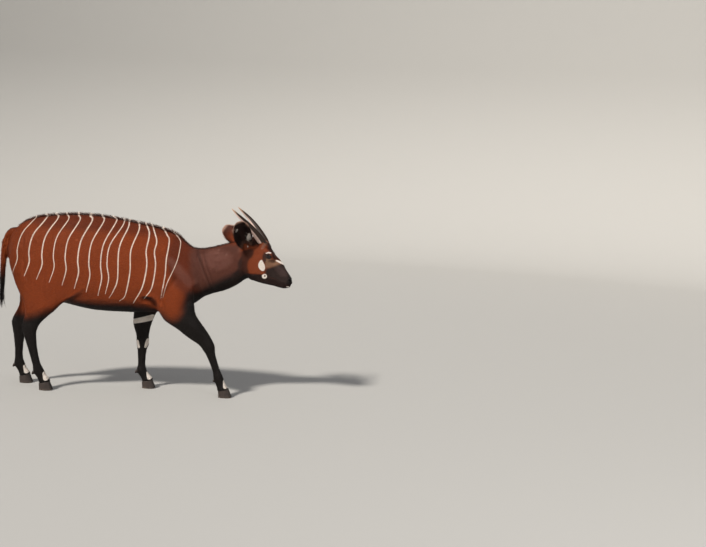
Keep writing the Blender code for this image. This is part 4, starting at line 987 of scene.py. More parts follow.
def hairColours(points, normals):
    seen = nearTwin(points)[:, (0, 2)]
    colour = np.tile(hues["rufous"], (len(points), 1))
    for hue, strength, soft, outline in areas:
        share = smooth(outlineDistance(seen, outline), -soft / 2, soft / 2) * strength
        colour += (hues[hue] - colour) * share[:, None]
    # painted shade over the belly's own dark hair: darker where the surface faces down
    belly = smooth(-normals[:, 2], 0.35, 0.85) * smooth(points[:, 2], 0.48, 0.52)
    belly *= 1 - smooth(points[:, 2], 0.70, 0.80)
    colour = tinted(colour, "belly", belly)
    spine = 1 - smooth(np.abs(points[:, 1]), 0.006, 0.022)
    spine *= smooth(normals[:, 2], 0.4, 0.8) * smooth(points[:, 2], 0.95, 0.99)
    spine *= 1 - smooth(points[:, 0], 0.60, 0.68)
    colour = tinted(colour, "spine", spine)
    tail = (1 - smooth(points[:, 2], 0.74, 0.90)) * smooth(-points[:, 0], 0.925, 0.94)
    return tinted(colour, "tail", tail)


def whiteFields(points):  # stripes by number, gap and half width, and how far inside a white mark a place is
    seen = nearTwin(points)[:, (0, 2)]
    wander = stripes["farShift"] * np.sin(seen[:, 0] * 23 + 1) * smooth(points[:, 1], -0.02, 0.02)
    index, gap, half = stripeFields(seen + np.column_stack((wander, 0 * wander)))
    trunk = (points[:, 2] > reaches["stripesLowest"]) & (seen[:, 0] < reaches["stripesForemost"])
    trunk &= points[:, 0] > reaches["stripesRearmost"]
    trunk &= np.abs(points[:, 1]) > 0.10 * (1 - smooth(points[:, 2], 0.56, 0.66))  # not between the legs
    half = np.where(trunk, half, noStripe)
    white = np.full(len(points), noMark)

    def lay(chosen, *marks):
        rows = np.flatnonzero(chosen)
        for distance in marks:
            white[rows] = np.maximum(white[rows], distance(rows))

    onHead = (seen > reaches["head"]).all(axis=1)
    lay(onHead, *(lambda rows, a=a, b=b: markDistance(seen[rows], a, b) for a, b in whiteMarks))
    flat = turned(points, -1)

    def ringAt(rows):
        out = np.linalg.norm(seen[rows] - np.array(ringMark["centre"]), axis=1)
        dot = np.linalg.norm(seen[rows] - np.array(ringMark["dotPlace"]), axis=1)
        return np.minimum(ringMark["outer"] - out, dot - ringMark["dot"])

    onCheeks = onHead & (np.abs(flat[:, 1]) > reaches["cheeks"])
    lay(onCheeks, ringAt, lambda rows: outlineDistance(seen[rows], cheekMark, 2))
    for leg, start, end, innerOnly in legWhites:
        y = legSides[leg]
        onLeg = (np.abs(points[:, 1] - y) < reaches["legHalf"]) & (points[:, 2] < reaches["legTop"])
        onLeg &= np.abs(points[:, 0] - start[0]) < reaches["legAlong"]
        if innerOnly:
            onLeg &= (points[:, 1] - y) * y < 0.0004
        lay(onLeg, lambda rows: markDistance(points[rows][:, (0, 2)], start, end))
    rear, front = reaches["throatX"]
    throat = (points[:, 0] > rear) & (points[:, 0] < front) & (points[:, 2] < reaches["throatTop"])
    lay(throat, lambda rows: throatMark["half"] - lineDistance(points[rows], throatMark["line"])[0])
    rear, front = reaches["earX"]
    for side in (-1, 1):
        nearEar = (flat[:, 0] < front) & (flat[:, 0] > rear) & (flat[:, 2] > reaches["earZ"])
        rows = np.flatnonzero(nearEar & (points[:, 1] * side > reaches["earY"]))
        along, across, depth = earPlace(points[rows], side)
        earHalf, cup, thick = earShape(along)
        u = np.clip(across / earHalf, -1, 1)
        inside = depth + cup * (1 - u * u) > thick * 0.45
        place = np.column_stack((along * ears["length"], across))
        for a, b in earMarks:
            far = markDistance(place, (a[0] * ears["length"], *a[1:]), (b[0] * ears["length"], *b[1:]))
            white[rows] = np.maximum(white[rows], np.where(inside, far, noMark))
    return index, gap, half, white


# Where the hair lies, how long and how close it is
def towards(normals, direction):
    flow = direction - normals * (direction * normals).sum(axis=1)[:, None]
    return flow / np.maximum(np.linalg.norm(flow, axis=1), 1e-6)[:, None]


def earShare(points):  # how much a place belongs to an ear, how much to its inside, and the ear's direction
    share = np.zeros(len(points))
    inside = np.zeros(len(points))
    direction = np.zeros((len(points), 3))
    for side in (-1, 1):
        along, across, depth = earPlace(points, side)
        half, cup, thick = earShape(along)
        u = np.clip(across / half, -1, 1)
        shell = depth + cup * (1 - u * u)
        on = (along > 0.02) & (along < 1.10) & (np.abs(across) < half + 0.012)
        on &= (shell > -0.014) & (shell < 0.022) & (points[:, 1] * side > 0)
        here = np.where(on, smooth(along, 0.06, 0.14), 0)
        share = np.maximum(share, here)
        middle = thick * (1 - ears["thinEdge"] * u * u) * 0.5
        inside = np.maximum(inside, here * smooth(shell - middle, -0.0004, 0.0004))
        direction[on] = np.array(earFrame(side)[1])
    return share, inside, direction


fur = {  # metres: the trunk's, and what each other zone adds; the ears' stand alone
    "spacing": {"trunk": 0.0035, "head": -0.0009, "face": -0.0008, "muzzle": -0.0003, "legs": -0.0005,
                "feet": -0.0004, "ears": 0.0025},
    "length": {"trunk": 0.0125, "head": -0.0045, "face": -0.0030, "muzzle": -0.0015, "legs": -0.0040,
               "feet": -0.0025, "belly": 0.0040, "ears": 0.0070},
    "lidRim": (0.0016, 0.0034),  # bare up to the first distance from the slit, full coat from the second
    "shortRoundEye": (0.003, 0.011),
    "shortAtThroat": (0.020, 0.055),
    "noseCentre": (0.982, 0, 0.799),
    "nosePad": (0.012, 0.020),  # bare up to the first distance from there
    "lips": (0.0020, 0.0036),
    "nostrils": (0.0030, 0.0055),
}


def coatFields(points, normals):
    flat = turned(points, -1)
    x, z = flat[:, 0], flat[:, 2]
    head = smooth(x, 0.60, 0.70) * smooth(z, 0.70, 0.76)
    faceShare = smooth(x, 0.77, 0.85) * head
    muzzle = smooth(x, 0.90, 0.96) * head
    legs = 1 - smooth(z, 0.44, 0.58)
    feet = 1 - smooth(z, 0.10, 0.22)
    under = smooth(-normals[:, 2], 0.3, 0.8) * smooth(z, 0.48, 0.54)
    tail = smooth(-x, 0.925, 0.945)
    ear, inside, earWay = earShare(points)
    shares = {"head": head, "face": faceShare, "muzzle": muzzle, "legs": legs, "feet": feet,
              "belly": under * (1 - head)}

    def measure(sizes):
        total = sizes["trunk"]
        for zone, share in shares.items():
            total = total + sizes.get(zone, 0.0) * share
        return np.where(ear > 0.5, sizes["ears"], total)

    spacing, length = measure(fur["spacing"]), measure(fur["length"])
    way = np.tile((-1.0, 0.0, -0.35), (len(points), 1))
    neck = smooth(x, 0.24, 0.40) * smooth(z, 0.64, 0.72)
    way += (np.array((-0.75, 0.0, -0.65)) - way) * neck[:, None]
    way += (np.array((-0.95, 0.0, -0.10)) - way) * head[:, None]
    way += (np.array((-0.80, 0.0, 0.55)) - way) * (
        faceShare * smooth(normals[:, 0] + normals[:, 2], 0.2, 0.8))[:, None]
    way += (np.array((-0.25, 0.0, -1.0)) - way) * legs[:, None]
    rump = smooth(-x, 0.70, 0.88) * (1 - legs)
    way += (np.array((-0.35, 0.0, -1.0)) - way) * rump[:, None]
    way += (np.array((-0.10, 0.0, -1.0)) - way) * tail[:, None]
    way += (earWay - way) * ear[:, None]
    way[:, 1] += 0.12 * np.sin(points[:, 0] * 31 + points[:, 2] * 17)
    way[:, 2] += 0.10 * np.sin(points[:, 0] * 23 - points[:, 2] * 29)
    flow = towards(normals, way)
    leftward = folded(points)
    pad = np.linalg.norm((flat - fur["noseCentre"]) * (1.0, 0.85, 1.0), axis=1)
    mouth, _ = lineDistance(leftward, face["mouth"])
    hole, _ = lineDistance(leftward, face["nostril"])
    bare = 1 - smooth(pad, *fur["nosePad"])
    bare = np.maximum(bare, 1 - smooth(mouth, *fur["lips"]))
    bare = np.maximum(bare, 1 - smooth(hole, *fur["nostrils"]))
    _, _, _, far, gap = slitPlace(flat)
    onLids = besideEye(flat, far)
    bare = np.maximum(bare, np.where(onLids, 1 - smooth(gap, *fur["lidRim"]), 0))
    length = np.where(onLids, length * (0.42 + 0.58 * smooth(gap, *fur["shortRoundEye"])), length)
    notch = np.linalg.norm(flat - np.array(skinPlan["throat"]), axis=1)
    length = length * (0.40 + 0.60 * smooth(notch, *fur["shortAtThroat"]))
    return {"furSpacing": spacing, "furLength": length, "bare": bare, "earInside": inside}, flow


regions = [  # name, and the test for it from straight places; the first that fits is taken
    ("coatEars", lambda x, y, z, ear: ear > 0.3),
    ("coatMuzzle", lambda x, y, z, ear: (x > 0.80) & (z > 0.70)),
    ("coatHead", lambda x, y, z, ear: (x > 0.62) & (z > 0.70)),
    ("coatNeck", lambda x, y, z, ear: (x > 0.33) & (z > 0.62)),
    ("coatNearForeleg", lambda x, y, z, ear: (x > 0.06) & (z < 0.56)),
    ("coatFarForeleg", lambda x, y, z, ear: (x > -0.25) & (z < 0.50)),
    ("coatNearHindleg", lambda x, y, z, ear: (y < 0) & (z < 0.52)),
    ("coatFarHindleg", lambda x, y, z, ear: z < 0.52),
    ("coatShoulders", lambda x, y, z, ear: x > 0.10),
    ("coatRibs", lambda x, y, z, ear: x > -0.16),
    ("coatFlanks", lambda x, y, z, ear: x > -0.42),
    ("coatHaunches", lambda x, y, z, ear: x > -0.66),
    ("coatRump", lambda x, y, z, ear: x > -2),
]


def storeWhites(mesh):
    for name, values in zip(("stripeIndex", "stripeGap", "stripeHalf", "white"), whiteFields(pointsOf(mesh))):
        storeNumber(mesh, name, values)


def dressSkin():
    mesh = skin.data
    points, normals = pointsOf(mesh), normalsOf(mesh)
    colour = hairColours(points, normals)
    fields, flow = coatFields(points, normals)
    inside = fields.pop("earInside")
    ear = earShare(points)[0]
    colour = tinted(colour, "earInside", inside)
    for side in (-1, 1):
        along, across, _ = earPlace(points, side)
        here = (points[:, 1] * side > 0) * ear
        u = np.abs(across) / earShape(along)[0]
        tip = smooth(along, 0.42, 0.90) * here * (1 - inside)
        colour = tinted(colour, "earTip", tip)
        base = (1 - smooth(along, 0.10, 0.26)) * here * inside
        colour = tinted(colour, "earBase", base)
        rim = np.maximum(smooth(along, 0.90, 0.97), smooth(u, 0.86, 0.96) * smooth(along, 0.66, 0.80)) * here
        colour = tinted(colour, "earRim", rim)
    flat = turned(points, -1)
    _, _, _, far, gap = slitPlace(flat)
    lid = (1 - smooth(gap, 0.0030, 0.0075)) * besideEye(flat, far)
    colour = tinted(colour, "lids", lid)
    edges = edgesOf(mesh)
    degree = np.maximum(np.bincount(edges.ravel(), minlength=len(points)), 1)
    for _ in range(4):
        flow = flow + neighbourMean(flow, edges, degree)
    flow = towards(normals, flow)
    storeColour(mesh, "hideColour", colour)
    storeWhites(mesh)
    for name, values in fields.items():
        storeNumber(mesh, name, values)
    storeVector(mesh, "lie", flow)
    centres = facesOf(mesh, "center")
    flat = turned(centres, -1)
    earHere = earShare(centres)[0]
    region = np.full(len(centres), -1, np.int32)
    for number, (name, fits) in enumerate(regions):
        region[(region < 0) & fits(flat[:, 0], flat[:, 1], flat[:, 2], earHere)] = number
    layer = mesh.attributes.new("region", "INT", "FACE")
    layer.data.foreach_set("value", region)


def unwrapSkin():  # a flat pattern of the hide, cut by the lie of its own surface
    bpy.ops.object.select_all(action="DESELECT")
    bpy.context.view_layer.objects.active = skin
    skin.select_set(True)
    skin.data.uv_layers.new(name="hideMap")
    bpy.ops.object.mode_set(mode="EDIT")
    bpy.ops.mesh.select_all(action="SELECT")
    bpy.ops.uv.smart_project(angle_limit=math.radians(66), island_margin=0.002)
    bpy.ops.object.mode_set(mode="OBJECT")


dressSkin()
print("markings")
unwrapSkin()
print("unwrapped")


# Node trees written as sums
class Value:  # a socket that can be added to and multiplied
    def __init__(self, tree, socket):
        self.tree, self.socket = tree, socket

    def maths(self, operation, *others):
        return self.tree.node("ShaderNodeMath", {"operation": operation}, dict(enumerate(others)))

    def __add__(self, other):
        return self.maths("ADD", self, other)

    __radd__ = __add__

    def __sub__(self, other):
        return self.maths("SUBTRACT", self, other)

    def __rsub__(self, other):
        return self.maths("SUBTRACT", other, self)

    def __mul__(self, other):
        return self.maths("MULTIPLY", self, other)

    __rmul__ = __mul__

    def __truediv__(self, other):
        return self.maths("DIVIDE", self, other)

    def __rtruediv__(self, other):
        return self.maths("DIVIDE", other, self)

    def rounded(self):
        return self.maths("ROUND", self)

    def size(self):
        return self.maths("ABSOLUTE", self)


class Tree:  # a node tree and the ways to add to it
    def __init__(self, tree):
        self.tree = tree

    def node(self, kind, settings=None, sockets=None, out=0):
        made = self.tree.nodes.new(kind)
        for name, value in (settings or {}).items():
            setattr(made, name, value)
        for key, value in (sockets or {}).items():
            if isinstance(value, Value):
                self.tree.links.new(value.socket, made.inputs[key])
            else:
                made.inputs[key].default_value = value
        return Value(self, made.outputs[out])

    def also(self, value, out):  # another output of the same node
        return Value(self, value.socket.node.outputs[out])

    def step(self, value, low, high):  # 0 below low, 1 above high, smooth between
        return self.node("ShaderNodeMapRange", {"interpolation_type": "SMOOTHSTEP"},
                         {0: value, 1: low, 2: high})

    def number(self, name):
        return self.node("ShaderNodeAttribute", {"attribute_name": name}, out=2)

    def colour(self, name):
        return self.node("ShaderNodeAttribute", {"attribute_name": name})

    def place(self):
        return self.node("ShaderNodeTexCoord", out=3)

    def grey(self, value):
        return self.node("ShaderNodeCombineColor", None, {0: value, 1: value, 2: value})

    def noise(self, scale, detail=2.0, rough=0.5, stretch=None, place=None):
        place = place or self.place()
        if stretch:
            place = self.node("ShaderNodeMapping", None, {0: place, 3: stretch})
        return self.node("ShaderNodeTexNoise", None, {"Vector": place, "Scale": scale, "Detail": detail,
                                                      "Roughness": rough})

    def mix(self, share, colour, other, how="MIX"):
        made = self.tree.nodes.new("ShaderNodeMix")
        made.data_type, made.blend_type = "RGBA", how
        for key, value in ((0, share), (6, colour), (7, other)):
            if isinstance(value, Value):
                self.tree.links.new(value.socket, made.inputs[key])
            elif key == 0:
                made.inputs[key].default_value = value
            else:
                made.inputs[key].default_value = (*value, 1)
        return Value(self, made.outputs[2])

    def bump(self, height, distance, strength=1.0):
        return self.node("ShaderNodeBump", None, {"Height": height, "Distance": distance, "Strength": strength})


def newMaterial(name, settings):  # a finish whose even values are set on the shader itself
    material = bpy.data.materials.new(name)
    material.use_nodes = True
    shader = material.node_tree.nodes["Principled BSDF"]
    for socket, value in settings.items():
        shader.inputs[socket].default_value = value
    return material, Tree(material.node_tree), shader


def feed(tree, shader, **values):
    for name, value in values.items():
        tree.tree.links.new(value.socket, shader.inputs[name.replace("_", " ")])


coatFinish = {
    "mottle": 0.16,  # how much the hair varies in tone
    "edge": 0.0011,  # how softly a white mark ends
    "ragged": 0.0009,  # how far its edge wanders
}


def coatColour(tree):  # the colour of the hair at a place, the same on hide and tufts
    index, gap, half = tree.number("stripeIndex"), tree.number("stripeGap"), tree.number("stripeHalf")
    ragged = (tree.noise(210, 2) - 0.5) * coatFinish["ragged"] * 2
    off = (index - index.rounded()).size() * gap
    edge = coatFinish["edge"]
    stripe = tree.step(half - off + ragged, -edge, edge)
    stripe = stripe * (0.86 + 0.14 * tree.step(tree.noise(30, 3), 0.35, 0.6))
    white = tree.step(tree.number("white") + ragged, -edge, edge)
    base = tree.colour("hideColour")
    tone = 1 - coatFinish["mottle"] + (tree.noise(9, 4, 0.6) + tree.noise(70, 3)) * coatFinish["mottle"]
    base = tree.mix(1.0, base, tree.grey(tone), "MULTIPLY")
    base = tree.mix(stripe, base, hues["stripe"])
    return tree.mix(white, base, hues["white"])


def makeHideMaterial():
    material, tree, shader = newMaterial("hide", {"Specular IOR Level": 0.25})
    bare = tree.number("bare")
    # painted shade between the hairs: the hide under the tufts is darkened
    dark = tree.mix(1.0, coatColour(tree), (0.74, 0.72, 0.72), "MULTIPLY")
    skinTone = tree.mix(tree.noise(260, 2), (0.009, 0.006, 0.006), (0.022, 0.015, 0.014))
    colour = tree.mix(bare, dark, skinTone)
    pebble = tree.node("ShaderNodeTexVoronoi", None, {"Vector": tree.place(), "Scale": 420.0})
    height = tree.noise(620, 2, stretch=(0.45, 1, 1)) * (1 - bare) + pebble * bare * 0.7
    feed(tree, shader, Base_Color=colour, Roughness=0.62 - bare * 0.26, Normal=tree.bump(height, 0.0012, 0.5))
    return material


def makeCoatMaterial():
    material, tree, shader = newMaterial("hair", {"Specular IOR Level": 0.28})
    tip, shade = tree.number("tip"), tree.number("shade")
    tone = (0.74 + 0.34 * tip) * (0.86 + 0.28 * shade)
    tone = tree.grey(tone)
    feed(tree, shader, Base_Color=tree.mix(1.0, coatColour(tree), tone, "MULTIPLY"),
         Roughness=0.50 + 0.12 * shade)
    return material


hideMaterial = makeHideMaterial()
hairMaterial = makeCoatMaterial()
skin.data.materials.clear()
skin.data.materials.append(hideMaterial)


# Tufts of hair, one unit long along +X and one wide, that bend up and to a side
def makeTuft(name, rows, bend, sides=3):  # rows: place along, width, height over the hide; both ends are points
    points, faces, tips = [], [], []
    for along, width, lift in rows:
        for k in range(sides if width else 1):
            angle = math.pi * (1.5 + 2 * k / sides)
            across = bend * along * along + width / 2 * math.cos(angle)
            points.append((along, across, lift + width * 0.17 * (1 + math.sin(angle))))
            tips.append(max(along, 0))
    last = len(points) - 1
    for k in range(sides):
        after = (k + 1) % sides
        faces.append((0, 1 + after, 1 + k))
        for ring in range(len(rows) - 3):
            start = 1 + ring * sides
            faces.append((start + k, start + after, start + after + sides, start + k + sides))
        faces.append((last - sides + k, last - sides + after, last))
    mesh = meshOf(name, points, faces)
    faceOut(mesh)
    storeNumber(mesh, "tip", tips)
    layer = mesh.uv_layers.new(name="tuftMap")
    for loop in mesh.loops:
        along, y, lift = points[loop.vertex_index]
        layer.data[loop.index].uv = (max(along, 0) * 0.9 + 0.05,
                                     0.5 + (y - bend * along * along) * 0.6 + lift * 0.1)
    shadeSmooth(mesh)
    return newObject(name, mesh)


shortRows = [(-0.12, 0, -0.30), (0.34, 1.0, 0.04), (1.0, 0, 0.10)]
lockRows = [(-0.05, 0, -0.55), (0.22, 1.0, 0.25), (0.55, 0.85, 0.75), (0.82, 0.50, 0.85), (1.0, 0, 0.80)]
lashRows = [(-0.03, 0, -0.1), (0.15, 1.0, 0.2), (0.50, 0.80, 1.2), (0.80, 0.50, 2.7), (1.0, 0, 4.0)]
shortTufts = [makeTuft("tuft" + str(k), shortRows, bend) for k, bend in enumerate((0.0, 0.55, -0.55))]
longLocks = [makeTuft("lock" + str(k), lockRows, bend) for k, bend in enumerate((0.0, 1.3, -1.3))]
lashHairs = [makeTuft("lash" + str(k), lashRows, bend) for k, bend in enumerate((0.0, 0.9, -0.9))]


def addInput(tree, name, kind, value=None):
    socket = tree.interface.new_socket(name, in_out="INPUT", socket_type=kind)
    if value is not None:
        socket.default_value = value
    return socket.identifier


def makeCoatTree(name, tufts):  # spreads tufts over a region of the hide
    tree = bpy.data.node_groups.new(name, "GeometryNodeTree")
    build = Tree(tree)
    tree.interface.new_socket("Geometry", in_out="INPUT", socket_type="NodeSocketGeometry")
    tree.interface.new_socket("Geometry", in_out="OUTPUT", socket_type="NodeSocketGeometry")
    ids = {
        "Region": addInput(tree, "Region", "NodeSocketInt", 0),
        "Spacing": addInput(tree, "Spacing", "NodeSocketFloat", 0.005),
        "Width": addInput(tree, "Width", "NodeSocketFloat", 0.64),
        "Length": addInput(tree, "Length", "NodeSocketFloat", 1.12),
        "Rise": addInput(tree, "Rise", "NodeSocketFloat", 0.14),
        "Wander": addInput(tree, "Wander", "NodeSocketFloat", 0.22),
        "Seed": addInput(tree, "Seed", "NodeSocketInt", 7),
        "Material": addInput(tree, "Material", "NodeSocketMaterial"),
    }
    entry = tree.nodes.new("NodeGroupInput")
    given = {socket.name: Value(build, socket) for socket in entry.outputs if socket.name}

    def named(attribute, kind="FLOAT"):
        return build.node("GeometryNodeInputNamedAttribute", {"data_type": kind}, {"Name": attribute})

    def random(low, high, seed):
        made = tree.nodes.new("FunctionNodeRandomValue")
        made.inputs[2].default_value, made.inputs[3].default_value = low, high
        tree.links.new((given["Seed"] + seed).socket, made.inputs["Seed"])
        return Value(build, made.outputs[1])

    here = build.node("FunctionNodeCompare", {"data_type": "INT", "operation": "EQUAL"},
                      {2: named("region", "INT"), 3: given["Region"]})
    spacing = named("furSpacing")
    share = given["Spacing"] / spacing
    share = share * share * (1 - named("bare"))
    fewest = given["Spacing"]
    points = build.node("GeometryNodeDistributePointsOnFaces", {"distribute_method": "POISSON"}, {
        "Mesh": given["Geometry"], "Selection": here, "Distance Min": fewest * 0.70,
        "Density Max": 1.25 / (fewest * fewest), "Density Factor": share, "Seed": given["Seed"]})
    normal = build.also(points, 1)
    upright = build.node("FunctionNodeAlignRotationToVector", {"axis": "Z"}, {"Vector": normal})
    lying = build.node("FunctionNodeAlignRotationToVector", {"axis": "X", "pivot_axis": "Z"},
                       {"Rotation": upright, "Vector": named("lie", "FLOAT_VECTOR")})
    yaw = random(-1.0, 1.0, 11) * given["Wander"]
    rise = given["Rise"] * random(0.5, 1.5, 12)
    turn = build.node("ShaderNodeCombineXYZ", None, {1: 0 - rise, 2: yaw})
    turn = build.node("FunctionNodeEulerToRotation", None, {0: turn})
    facing = build.node("FunctionNodeRotateRotation", {"rotation_space": "LOCAL"}, {0: lying, 1: turn})
    length = named("furLength") * given["Length"] * random(0.72, 1.18, 13)
    width = spacing * given["Width"] * random(0.75, 1.25, 14)
    scale = build.node("ShaderNodeCombineXYZ", None, {0: length, 1: width, 2: width})
    kinds = tree.nodes.new("GeometryNodeGeometryToInstance")
    for tuft in tufts[::-1]:
        source = build.node("GeometryNodeObjectInfo", None, {"Object": tuft}, out="Geometry")
        tree.links.new(source.socket, kinds.inputs[0])
    pick = tree.nodes.new("FunctionNodeRandomValue")
    pick.data_type = "INT"
    pick.inputs[4].default_value, pick.inputs[5].default_value = 0, len(tufts) - 1
    tree.links.new(given["Seed"].socket, pick.inputs["Seed"])
    placed = build.node("GeometryNodeInstanceOnPoints", None, {
        "Points": points, "Instance": Value(build, kinds.outputs[0]), "Pick Instance": True,
        "Instance Index": Value(build, pick.outputs[2]), "Rotation": facing, "Scale": scale})
    shaded = build.node("GeometryNodeStoreNamedAttribute", {"data_type": "FLOAT", "domain": "INSTANCE"},
                        {"Geometry": placed, "Name": "shade", "Value": random(0.0, 1.0, 15)})
    solid = build.node("GeometryNodeRealizeInstances", None, {0: shaded})
    patch = build.node("ShaderNodeVectorMath", {"operation": "SUBTRACT"},
                       {0: named("tuftMap", "FLOAT_VECTOR"), 1: (0.5, 0.5, 0.0)})
    patch = build.node("ShaderNodeVectorMath", {"operation": "MULTIPLY_ADD"},
                       {0: patch, 1: (0.003, 0.003, 0.0), 2: named("hideMap", "FLOAT_VECTOR")})
    mapped = build.node("GeometryNodeStoreNamedAttribute", {"data_type": "FLOAT2", "domain": "CORNER"},
                        {"Geometry": solid, "Name": "OFBake", "Value": patch})
    coated = build.node("GeometryNodeSetMaterial", None, {"Geometry": mapped, "Material": given["Material"]})
    leave = tree.nodes.new("NodeGroupOutput")
    tree.links.new(coated.socket, leave.inputs[0])
    return tree, ids


shortTree, shortIds = makeCoatTree("shortCoat", shortTufts)
longTree, longIds = makeCoatTree("longHair", longLocks)
lashTree, lashIds = makeCoatTree("lashHair", lashHairs)
coat = {
    "quickSpacing": 1.0,
    "longSeed": 40,
    "coatEars": 0.0025,
    "coatMuzzle": 0.0015,
    "coatHead": 0.0025,
    "coatNearForeleg": 0.0026,
    "coatFarForeleg": 0.0026,
    "coatNearHindleg": 0.0026,
    "coatFarHindleg": 0.0026,
    "spacing": 0.0034,
}


def grow(name, source, tree, ids, marked=True, **values):  # marked: each hair may be white in part
    holder = newObject(name, source)
    step = holder.modifiers.new("hair", "NODES")
    step.node_group = tree
    for key, value in values.items():
        step[ids[key]] = value
    graph = bpy.context.evaluated_depsgraph_get()
    mesh = bpy.data.meshes.new_from_object(holder.evaluated_get(graph), depsgraph=graph)
    bpy.data.objects.remove(holder)
    for spare in ("tuftMap", "hideMap", "lie", "region", "furSpacing", "furLength", "bare"):
        layer = mesh.attributes.get(spare)
        if layer:
            mesh.attributes.remove(layer)
    if marked:
        storeWhites(mesh)
    piece = newObject(name, mesh)
    print(name, len(mesh.polygons))
    return piece


def makeCoat():
    pieces = []
    for number, (name, _) in enumerate(regions):
        spacing = coat.get(name, coat["spacing"]) * coat["quickSpacing"]
        pieces.append(grow(name, skin.data, shortTree, shortIds, Region=number, Spacing=spacing,
                           Seed=number + 3, Material=hairMaterial))
    return pieces


coatPieces = makeCoat()


# Longer hair: the crest, the tail, inside the ears, round the horns and on the nape
def patchOf(test):  # the part of the hide where a test of its faces' middles holds
    mesh = skin.data.copy()
    kept = test(facesOf(mesh, "center"), facesOf(mesh, "normal"))
    sheet = sheetOf(mesh)
    sheet.faces.ensure_lookup_table()
    dropped = [f for f, keep in zip(sheet.faces, kept) if not keep]
    bmesh.ops.delete(sheet, geom=dropped, context="FACES")
    layBack(sheet, mesh)
    mesh.attributes["region"].data.foreach_set("value", np.zeros(len(mesh.polygons), np.int32))
    storeNumber(mesh, "bare", np.zeros(len(mesh.vertices)))
    return mesh


def hornDistance(points):
    line = np.array(horns["line"])
    far, along = lineDistance(folded(points), line[:, :3])
    return far - np.interp(along * (len(line) - 1), np.arange(len(line)), line[:, 3])


def growLong(name, on, spacing, length, way, rise, width, wander=0.25, marked=True):
    mesh = patchOf(on)
    points, normals = pointsOf(mesh), normalsOf(mesh)
    storeNumber(mesh, "furSpacing", np.full(len(points), spacing))
    storeNumber(mesh, "furLength", length(points) if callable(length) else np.full(len(points), length))
    direction = way(points) if callable(way) else np.tile(way, (len(points), 1))
    storeVector(mesh, "lie", towards(normals, direction))
    return grow(name, mesh, longTree, longIds, marked, Region=0, Spacing=spacing * coat["quickSpacing"],
                Width=width, Rise=rise, Wander=wander, Seed=coat["longSeed"], Material=hairMaterial)


def earTest(points, normals):
    share, inside, _ = earShare(points)
    edge = np.zeros(len(points), bool)
    for side in (-1, 1):
        along, across, _ = earPlace(points, side)
        half = earShape(along)[0]
        edge |= (along > 0.06) & (along < 0.80) & (np.abs(across) > half * 0.45) & (points[:, 1] * side > 0)
    return (share > 0.5) & (inside > 0.5) & edge & (whiteFields(points)[3] < -0.001)


def earWay(points):
    made = np.zeros((len(points), 3))
    for side in (-1, 1):
        here = points[:, 1] * side > 0
        _, axis, _, across = (np.array(v) for v in earFrame(side))
        _, place, _ = earPlace(points[here], side)
        made[here] = axis * 0.9 - across * np.sign(place)[:, None] * 0.8
    return made


def onNape(points, normals):
    flat = turned(points, -1)
    on = (hornDistance(points) > 0.008) & (flat[:, 0] > 0.690) & (flat[:, 0] < 0.775)
    return on & (points[:, 2] > 1.0) & (normals[:, 2] > 0.2) & (np.abs(flat[:, 1]) < 0.066)


longHair = {  # where each grows, and its measures in metres; the width is a share of the spacing
    "crestHair": {
        "on": lambda p, n: (np.abs(p[:, 1]) < 0.010) & (n[:, 2] > 0.5) & (p[:, 2] > 0.9) & (p[:, 0] < 0.60)
        & (p[:, 0] > -0.86),
        "spacing": 0.0042,
        "length": lambda p: 0.016 + 0.026 * (1 - smooth(p[:, 0], 0.16, 0.34)) * smooth(p[:, 0], -0.86, -0.60),
        "way": (-1.0, 0.0, -0.05),
        "rise": 0.30,
        "width": 0.9,
    },
    "tailTuft": {
        "on": lambda p, n: (p[:, 0] < -0.92) & (p[:, 2] < 0.80) & (p[:, 2] > 0.55),
        "spacing": 0.0026,
        "length": lambda p: 0.040 + 0.075 * (1 - smooth(p[:, 2], 0.64, 0.80)),
        "way": (0.0, 0.0, -1.0),
        "rise": 0.10,
        "width": 1.5,
        "wander": 0.10,
    },
    "tailHair": {
        "on": lambda p, n: (p[:, 0] < -0.925) & (p[:, 2] < 1.0) & (p[:, 2] > 0.78),
        "spacing": 0.0045,
        "length": 0.030,
        "way": (0.0, 0.0, -1.0),
        "rise": 0.12,
        "width": 0.9,
    },
    "earHair": {"on": earTest, "spacing": 0.0040, "length": 0.022, "way": earWay, "rise": 0.28, "width": 0.50,
                "marked": False},
    "hornBaseHair": {
        "on": lambda p, n: (hornDistance(p) < 0.007) & (turned(p, -1)[:, 0] > 0.70),
        "spacing": 0.0024,
        "length": 0.0105,
        "way": (-0.35, 0.0, 0.95),
        "rise": 0.32,
        "width": 0.75,
    },
    "napeHair": {"on": onNape, "spacing": 0.0032, "length": 0.027, "way": (-0.9, 0.0, 0.5), "rise": 0.42,
                 "width": 0.75},
}

horns = {
    "line": [  # along the left horn: x, y, z, radius
        (0.798, 0.026, 0.990, 0.0225),
        (0.790, 0.034, 1.022, 0.0256),
        (0.776, 0.043, 1.052, 0.0250),
        (0.752, 0.056, 1.086, 0.0234),
        (0.711, 0.078, 1.136, 0.0198),
        (0.663, 0.099, 1.186, 0.0146),
        (0.618, 0.109, 1.226, 0.0094),
        (0.578, 0.108, 1.262, 0.0028),
    ],
    "steps": 12,
    "sides": 36,
    "twist": math.radians(210),
    "keel": 0.23,
    "keelWidth": 0.34,
    "flat": 0.86,
    "rings": 17,  # of growth, closest and strongest near the root
    "ringHeight": 0.0009,
    "ringCrowd": 0.8,
    "ringFade": 1.5,
    "tip": 0.0015,
}


